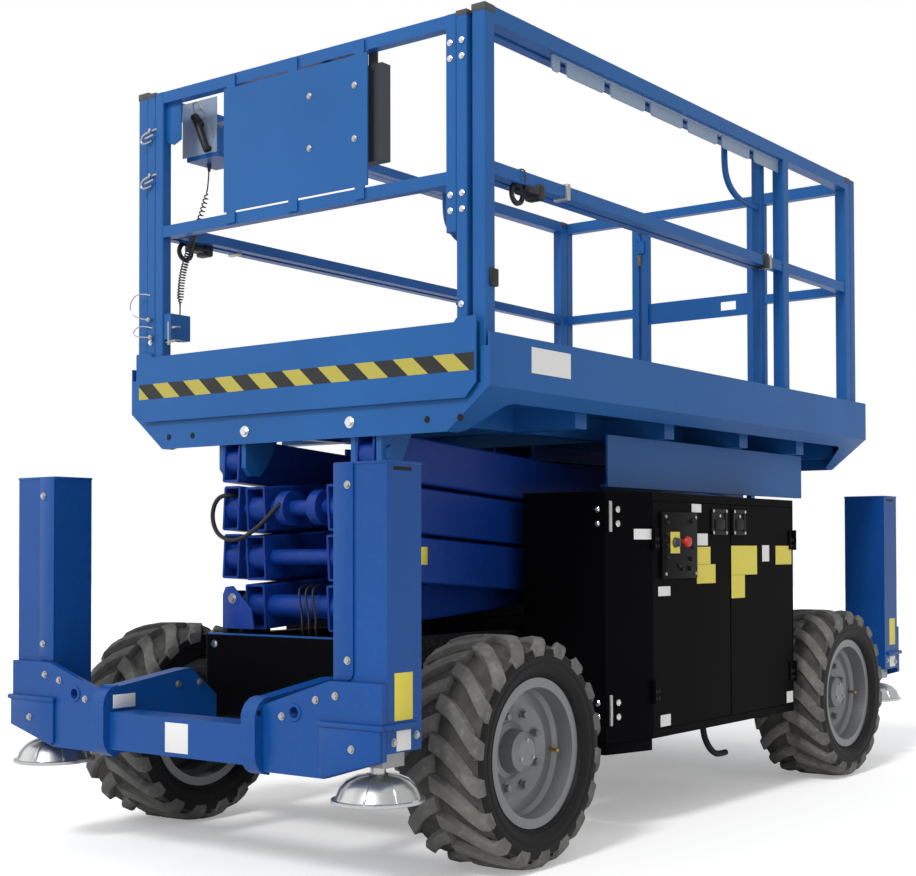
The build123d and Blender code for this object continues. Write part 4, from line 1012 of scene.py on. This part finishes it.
def makePanel(sizes, doorX):
    body, x, step, face = "door_front_right", sizes["x"], sizes["step"], sizes["x"] + 0.002
    panel = Shop("controlPanel", body, "panelBlack")
    panel.box((doorX + 0.0004, sizes["frontY"], sizes["low"]), (x, sizes["rearY"], sizes["high"]), 0.003)
    panel.box((x - 0.001, sizes["frontY"] + step, sizes["low"] + step),
              (face, sizes["rearY"] - step, sizes["high"] - step), 0.001)
    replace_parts(panel.done(), "ground_panel")
    dials = Shop("panelDials", body, "darkPlastic")
    for spot in sizes["dials"]:
        knob(dials, spot, face - 0.001, face + 0.008, 0.009, 0.007, 20, 0.002)
    dials.done()
    keyPlate = Shop("panelKeyPlate", body, "signYellow")
    keyPlate.box((face - 0.0004, -0.305, 0.945), (face + 0.0012, -0.240, 1.020), 0.0004).done()
    keySwitch = Shop("panelKey", body, "capGrey")
    knob(keySwitch, sizes["key"], face + 0.001, face + 0.012, 0.019, 0.016, 28, 0.002)
    y, z = sizes["key"]
    keySwitch.box((face + 0.010, y - 0.004, z - 0.015), (face + 0.024, y + 0.004, z + 0.015), 0.001).done()
    mushroom = Shop("panelStop", body, "signRed")
    knob(mushroom, sizes["stop"], face - 0.001, face + 0.016, 0.010, None, 20)
    knob(mushroom, sizes["stop"], face + 0.014, face + 0.028, 0.021, 0.017, 28, 0.004).done()
    screws = [((face, y, z), (1, 0, 0)) for y in sizes["screwY"] for z in sizes["screwZ"]]
    bolts("panelScrews", body, screws, 0.0045, 0.003, "zincSteel")


makePanel(panelSizes, doorSizes["faceX"])

latchSizes = {"low": 1.012, "high": 1.108, "rim": 0.006, "rimWide": 0.014, "paddle": 0.009,
              "screwInset": 0.008,
              "span": {"door_front_right": (0.018, 0.135), "door_rear_right": (0.184, 0.285)}}


# A dark recessed latch with a bright lock and four screws
def makeLatch(body, y0, y1, sizes, face):
    low, high, rim, wide = (sizes[key] for key in ("low", "high", "rim", "rimWide"))
    latch = Shop(f"latch_{body}", body, "darkPlastic")
    for corner, other in (((y0, low), (y1, low + wide)), ((y0, high - wide), (y1, high)),
                          ((y0, low), (y0 + wide, high)), ((y1 - wide, low), (y1, high))):
        latch.box((face - 0.0002, *corner), (face + rim, *other), 0.002)
    latch.box((face - 0.0002, y0 + 0.010, low + 0.010), (face + 0.0015, y1 - 0.010, high - 0.010))
    latch.box((face + 0.001, y0 + 0.022, low + 0.020), (face + sizes["paddle"], y1 - 0.022, low + 0.058), 0.003)
    latch.done()
    lock = Shop(f"latchLock_{body}", body, "brightSteel")
    knob(lock, ((y0 + y1) / 2, high - 0.026), face + 0.001, face + 0.007, 0.006, None, 20).done()
    inset = sizes["screwInset"]
    screws = [((face + rim, y, z), (1, 0, 0))
              for y in (y0 + inset, y1 - inset) for z in (low + inset, high - inset)]
    bolts(f"latchScrews_{body}", body, screws, 0.0045, 0.003, "brightSteel")


for body, (y0, y1) in latchSizes["span"].items():
    makeLatch(body, y0, y1, latchSizes, doorSizes["faceX"])

# Blank signs on the right doors, each (front, rear, low, high)
doorSigns = {
    ("signYellow", "door_front_right"): ((-0.098, 0.010, 0.905, 0.968), (-0.092, 0.048, 0.835, 0.904)),
    ("signYellow", "door_rear_right"): ((0.174, 0.385, 0.862, 0.972), (0.174, 0.282, 0.775, 0.861),
                                        (0.548, 0.690, 0.898, 0.972)),
    ("signWhite", "door_front_right"): ((-0.100, -0.010, 0.973, 1.016), (-0.128, -0.058, 1.092, 1.122),
                                        (-0.367, -0.284, 0.797, 0.830), (-0.355, -0.286, 0.345, 0.385)),
    ("signWhite", "door_rear_right"): ((0.431, 0.490, 0.911, 0.974), (0.640, 0.696, 0.345, 0.390)),
}
for (finish, body), spots in doorSigns.items():
    signs = Shop(f"{finish}_{body}", body, finish)
    for front, rear, low, high in spots:
        signs.box((doorSizes["faceX"] - 0.0002, front, low), (doorSizes["faceX"] + 0.0008, rear, high))
    signs.done()

hingeSizes = {"x": 0.805, "lowZ": (0.430, 0.955), "edge": 0.012, "stepY": 0.018, "rise": 0.016,
              "stepZ": 0.024}


# Four screws on each leaf of a door's hinges, in two rows
def hingeSpots(side, y, way, sizes):
    return [((side * sizes["x"], y + way * (sizes["edge"] + sizes["stepY"] * (i % 2)),
              z + sizes["rise"] + sizes["stepZ"] * (i // 2)), (side, 0, 0))
            for z in sizes["lowZ"] for i in range(4)]


for side, hand in hands:
    for place, y, way in (("front", doorSizes["frontY"], 1), ("rear", doorSizes["rearY"], -1)):
        bolts(f"hingeScrews_{place}_{hand}", f"door_{place}_{hand}", hingeSpots(side, y, way, hingeSizes),
              0.0055, 0.004, "darkPlastic")

# The nose of each cabinet: a sill, bright hinge pins, domed screws and leaves, and a blank sign on the right
noseSizes = {"x": 0.740, "frontY": -0.613, "outX": 0.800, "backY": -0.405, "innerX": 0.500, "sillLow": 0.270,
             "sillHigh": 0.3105, "inset": 0.003, "hingeZ": (1.070, 0.420), "pinHalf": 0.052, "leafHalf": 0.045,
             "leafRun": (0.0, 0.075), "signRun": (0.130, 0.212), "sign": (0.993, 1.029)}


def noseLines(side, sizes):
    corner = Vector((side * sizes["x"], sizes["frontY"], 0))
    along = Vector((side * (sizes["outX"] - sizes["x"]), sizes["backY"] - sizes["frontY"], 0)).normalized()
    return corner, along, Vector((along.y * side, -along.x * side, 0))


# An upright plate that starts at a foot, runs along one way and faces another
def uprightPlate(shop, foot, along, facing, run, thick, low, high):
    corners = [foot + along * a + facing * b
               for a, b in ((run[0], thick[0]), (run[1], thick[0]), (run[1], thick[1]), (run[0], thick[1]))]
    return shop.plate([(corner.x, corner.y) for corner in corners], low, high, "z")


def makeNose(side, hand, sizes):
    corner, along, facing = noseLines(side, sizes)
    outward = Vector((-side, 0, 0))
    inset, frontY, backY = sizes["inset"], sizes["frontY"] + sizes["inset"], sizes["backY"]
    sill = Shop(f"cabinetSill_{hand}", "chassis", "blackPaint")
    sill.plate([(side * sizes["innerX"], frontY), (side * (sizes["x"] - inset), frontY),
                (side * (sizes["outX"] - inset), backY), (side * sizes["innerX"], backY)],
               sizes["sillLow"], sizes["sillHigh"], "z", 0.003).done()
    pins = Shop(f"noseHinges_{hand}", "chassis", "zincSteel")
    domes = Shop(f"noseScrews_{hand}", "chassis", "brightSteel")
    leaves = Shop(f"noseLeaves_{hand}", "chassis", "blackPaint")
    rise = Vector((0, 0, 1))
    for z in sizes["hingeZ"]:
        pin = corner + along * 0.018 + facing * 0.006
        pins.rod(pin + rise * (z - sizes["pinHalf"]), pin + rise * (z + sizes["pinHalf"]),
                 0.0065, None, 16, 0.002)
        for high in (z - 0.024, z + 0.024):
            for foot, out in ((corner + along * 0.055, facing), (corner + outward * 0.030, Vector(forward))):
                spot = foot + rise * high
                domes.rod(spot - out * 0.001, spot + out * 0.005, 0.0125, 0.011, 20)
                domes.rod(spot + out * 0.005, spot + out * 0.009, 0.011, 0.005, 20)
    pins.done()
    domes.done()
    for out, reach in ((facing, along), (Vector(forward), outward)):
        for z in sizes["hingeZ"]:
            uprightPlate(leaves, corner, reach, out, sizes["leafRun"], (-0.001, 0.002),
                         z - sizes["leafHalf"], z + sizes["leafHalf"])
    leaves.done()


for side, hand in hands:
    makeNose(side, hand, noseSizes)
noseSign = Shop("noseSign", "chassis", "signWhite")
uprightPlate(noseSign, *noseLines(1, noseSizes), noseSizes["signRun"], (-0.001, 0.001), *noseSizes["sign"])
noseSign.done()

# A bent hook below the right cabinet, and a blank sign on the deck's skirt
hookPath = [(0.126, 0.320), (0.130, 0.275), (0.160, 0.225), (0.205, 0.190), (0.250, 0.176), (0.310, 0.178)]
hook = Shop("cabinetHook", "chassis", "darkPlastic")
hook.tube([(0.70, y, z) for y, z in hookPath], 0.012, 12).done()
skirtSign = Shop("skirtSign", "platform", "signWhite")
skirtSign.box((0.7972, -1.120, 1.500), (0.7984, -0.905, 1.580)).done()
print("stage: cabinets")

# Scissor front: a hose loop, thin hoses, an ear bracket with its bolt, a blank sign, and a blue strip on the
# front cover's top edge as a painted highlight
loopPath = [(-0.060, -1.290, 1.120), (-0.060, -1.335, 1.118), (-0.110, -1.350, 1.060),
            (-0.200, -1.352, 1.004), (-0.270, -1.352, 0.990), (-0.338, -1.350, 1.010),
            (-0.366, -1.350, 1.060), (-0.360, -1.350, 1.110), (-0.335, -1.345, 1.142),
            (-0.300, -1.335, 1.146), (-0.300, -1.290, 1.140)]
hoseSizes = {"starts": ((0.040, 0.0), (0.070, 0.010), (0.100, 0.004)), "radius": 0.0042}
earOutline = [(-0.285, 0.700), (-0.285, 0.812), (-0.272, 0.838), (-0.238, 0.842), (-0.206, 0.815),
              (-0.150, 0.765), (-0.138, 0.700)]
# Sizes of the front cover's bolts and of the blue strip painted as a highlight on its top edge
coverBoltAndHighlightSizes = {"inset": 0.035, "edge": 0.004, "rise": 0.002, "deep": 0.012}
Shop("hoseLoop", "outer_2", "hoseRubber").tube(loopPath, 0.0075, 12).done()
hoses = Shop("frontHoses", "chassis", "hoseRubber")
for x, drop in hoseSizes["starts"]:
    hoses.tube([(x - 0.015, -1.300, 0.845), (x - 0.012, -1.338, 0.842), (x, -1.350, 0.800 - drop),
                (x + 0.014, -1.350, 0.750), (x + 0.010, -1.348, 0.700), (x + 0.004, -1.330, 0.660)],
               hoseSizes["radius"], 10)
hoses.done()
Shop("earBracket", "chassis", "scissorBlue").plate(earOutline, -1.372, -1.378, "y", 0.001).done()
Shop("armSign", "outer_1", "signYellow").box((0.3378, -1.096, 0.911), (0.3392, -1.062, 0.969), 0.0002).done()
bolts("earBolts", "chassis", [((-0.238, -1.378, 0.800), forward)], 0.013, 0.009, "zincSteel")
coverLow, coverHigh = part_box("front_cover")
coverBolts = [((x, coverLow.y, coverHigh.z - coverBoltAndHighlightSizes["inset"]), forward)
              for x in (coverLow.x + coverBoltAndHighlightSizes["inset"], coverHigh.x - coverBoltAndHighlightSizes["inset"])]
bolts("coverBolts", "chassis", coverBolts, 0.010, 0.007, "brightSteel")
# A blue strip along the top edge of the black front cover, a painted highlight
paintedCoverHighlight = Shop("paintedCoverHighlight", "chassis", "outriggerBlue")
edge = coverBoltAndHighlightSizes["edge"]
paintedCoverHighlight.box((coverLow.x + edge, coverLow.y - 0.001, coverHigh.z - edge),
              (coverHigh.x - edge, coverLow.y + coverBoltAndHighlightSizes["deep"], coverHigh.z + coverBoltAndHighlightSizes["rise"]), 0.001)
paintedCoverHighlight.done()
print("stage: scissor front")

# Rail fittings on the posts of the roll-out deck: bolts, push handles, pins, lanyards, the socket's hasp
postSizes = {"columns": ((0.652, -1.3362), (0.698, -1.3378)), "rows": (2.488, 2.440, 2.027, 1.979),
             "lowZ": 1.694}
postSpots = [((x, y, z), forward) for x, y in postSizes["columns"] for z in postSizes["rows"]]
postSpots += [((side * extensionSizes["x"], extensionSizes["faceY"], postSizes["lowZ"]), forward)
              for side in (-1, 1)]
bolts("postBolts", "extension", postSpots, 0.0075, 0.006, "brightSteel")

clampSizes = {"y": -1.128, "z": 2.056, "ring": 0.030, "ringTube": 0.0085, "wide": 0.029, "wire": 0.0025}


# A ring, its clamp and wire on each side rail's front stretch, and a block further back
def railClamp(shop, side, x, sizes):
    y, wide = sizes["y"], sizes["wide"]
    turns = [2 * pi * i / 12 for i in range(12)]
    shop.tube([(x, y + sizes["ring"] * cos(turn), sizes["z"] + sizes["ring"] * sin(turn)) for turn in turns],
              sizes["ringTube"], 10, True)
    shop.box((x - wide, -1.108, 2.062), (x + wide, -1.030, 2.086), 0.007)
    shop.box((x - wide, -1.052, 2.050), (x + wide + 0.002, -1.016, 2.100), 0.008)
    shop.tube([(x + side * wide, y, 2.085), (x + side * (wide + 0.003), -1.122, 2.125), (x, -1.116, 2.137),
               (x - side * (wide + 0.001), -1.112, 2.120), (x - side * wide, -1.105, 2.080)], sizes["wire"], 8)
    shop.box((x - side * wide, 0.520, 2.076), (x + side * wide, 0.556, 2.134), 0.006)


clamps = Shop("railClamps", "platform", "hoseRubber")
for side in (-1, 1):
    railClamp(clamps, side, side * railSizes["x"], clampSizes)
clamps.box((0.768, -1.306, 1.745), (0.783, -1.266, 1.800), 0.005).done()
straps = Shop("railStraps", "platform", "zincSteel")
for side in (-1, 1):
    for y in (-0.880, 0.571):
        straps.box((side * 0.722, y - 0.010, 2.078), (side * 0.778, y + 0.010, 2.132), 0.003)
straps.done()

handlePath = [(0.340, 2.560), (0.335, 2.480), (0.355, 2.400), (0.430, 2.352), (0.520, 2.338), (0.622, 2.338)]
handles = Shop("pushHandles", "extension", "brightBlue")
for side in (-1, 1):
    handles.tube([(side * extensionSizes["x"], y, z) for y, z in handlePath], 0.0125, 16)
handles.done()

# Two bent wire pins, each through a small collar, their heights from the collar's middle
pinSizes = {"z": (2.416, 2.256), "wire": 0.0036, "collar": (-0.690, 0.030)}
pinHook = [(-0.668, -1.334, 0.034), (-0.700, -1.348, 0.024), (-0.730, -1.349, 0.014),
           (-0.735, -1.349, -0.012), (-0.704, -1.349, -0.016), (-0.690, -1.340, -0.006)]
pinTail = [(-0.716, -1.330, 0.004), (-0.724, -1.344, 0.006), (-0.700, -1.352, 0.002),
           (-0.672, -1.346, 0.012)]
pins = Shop("railPins", "extension", "zincSteel")
for z in pinSizes["z"]:
    for path in (pinHook, pinTail):
        pins.tube([(x, y, z + rise) for x, y, rise in path], pinSizes["wire"], 10)
    collarX, rise = pinSizes["collar"]
    pins.rod((collarX, -1.350, z + rise), (collarX, -1.330, z + rise), 0.0065, None, 16)
pins.done()

beadProfile = [(-0.009, 0.001), (-0.006, 0.0075), (0.0, 0.0095), (0.006, 0.0075), (0.009, 0.001)]
lanyards = Shop("pinLanyards", "extension", "zincSteel")
for x, z, wide, fall in ((-0.700, 1.862, 0.088, 0.088), (-0.690, 1.745, 0.080, 0.034)):
    lanyards.tube([(x, -1.336, z), (x - wide * 0.5, -1.352, z + 0.014), (x - wide, -1.356, z - fall * 0.25),
                   (x - wide * 0.85, -1.354, z - fall * 0.85), (x, -1.349, z - fall)], 0.0021, 8)
    lanyards.turned(beadProfile, (x + 0.006, -1.347, z - fall), (1, 0, 0), 20)
lanyards.done()

hasp = Shop("socketHasp", "extension", "zincSteel")
for z in (1.738, 1.690):
    hasp.tube([(-0.640, -1.300, z), (-0.640, -1.322, z), (-0.612, -1.326, z + 0.002),
               (-0.584, -1.322, z + 0.004),
               (-0.584, -1.300, z + 0.004)], 0.0045, 10)
hasp.rod((-0.612, -1.326, 1.680), (-0.612, -1.326, 1.762), 0.0055, None, 16).done()

# Platform controls again: the gusset behind them, the black grip on its stems, and its wire guard
gussetOutline = [(-0.673, 2.552), (-0.562, 2.552), (-0.562, 2.400), (-0.600, 2.386), (-0.673, 2.412)]
Shop("cornerGusset", "extension", "brightBlue").plate(gussetOutline, -1.318, -1.312, "y", 0.001).done()
gripY, stemY = trayLow.y - 0.022, trayLow.y + 0.004
grip = Shop("controlGrip", "extension", "hoseRubber")
grip.rod((-0.568, gripY, 2.486), (-0.512, gripY, 2.366), 0.0145, 0.0115, 24, 0.004)
grip.rod((-0.578, gripY, 2.500), (-0.556, gripY, 2.474), 0.0165, 0.0155, 20, 0.004)
for x, z in ((-0.556, 2.470), (-0.518, 2.380)):
    grip.rod((x, gripY, z), (x, stemY, z), 0.009, None, 16)
grip.done()
guard = Shop("controlGuard", "extension", "zincSteel")
guard.tube([(-0.590, stemY, 2.495), (-0.590, gripY, 2.535), (-0.570, gripY, 2.556), (-0.530, gripY, 2.520),
            (-0.500, gripY, 2.440), (-0.496, stemY, 2.405)], 0.0025, 10).done()

# A brass coil round each knuckle of the gate
springSizes = {"x": -0.306, "y": 1.364, "z": (1.780, 2.330), "radius": 0.0095, "perTurn": 8, "points": 60,
               "rise": 0.0009, "wire": 0.0022}


def coil(z, sizes):
    turns = [2 * pi * i / sizes["perTurn"] for i in range(sizes["points"])]
    foot, radius = Vector((sizes["x"], sizes["y"], z)), sizes["radius"]
    return [foot + Vector((radius * cos(turn), radius * sin(turn), sizes["rise"] * i))
            for i, turn in enumerate(turns)]


springs = Shop("gateSprings", "platform", "brassSpring")
for z in springSizes["z"]:
    springs.tube(coil(z, springSizes), springSizes["wire"], 6)
springs.done()
print("stage: fittings")


print("stage: done")
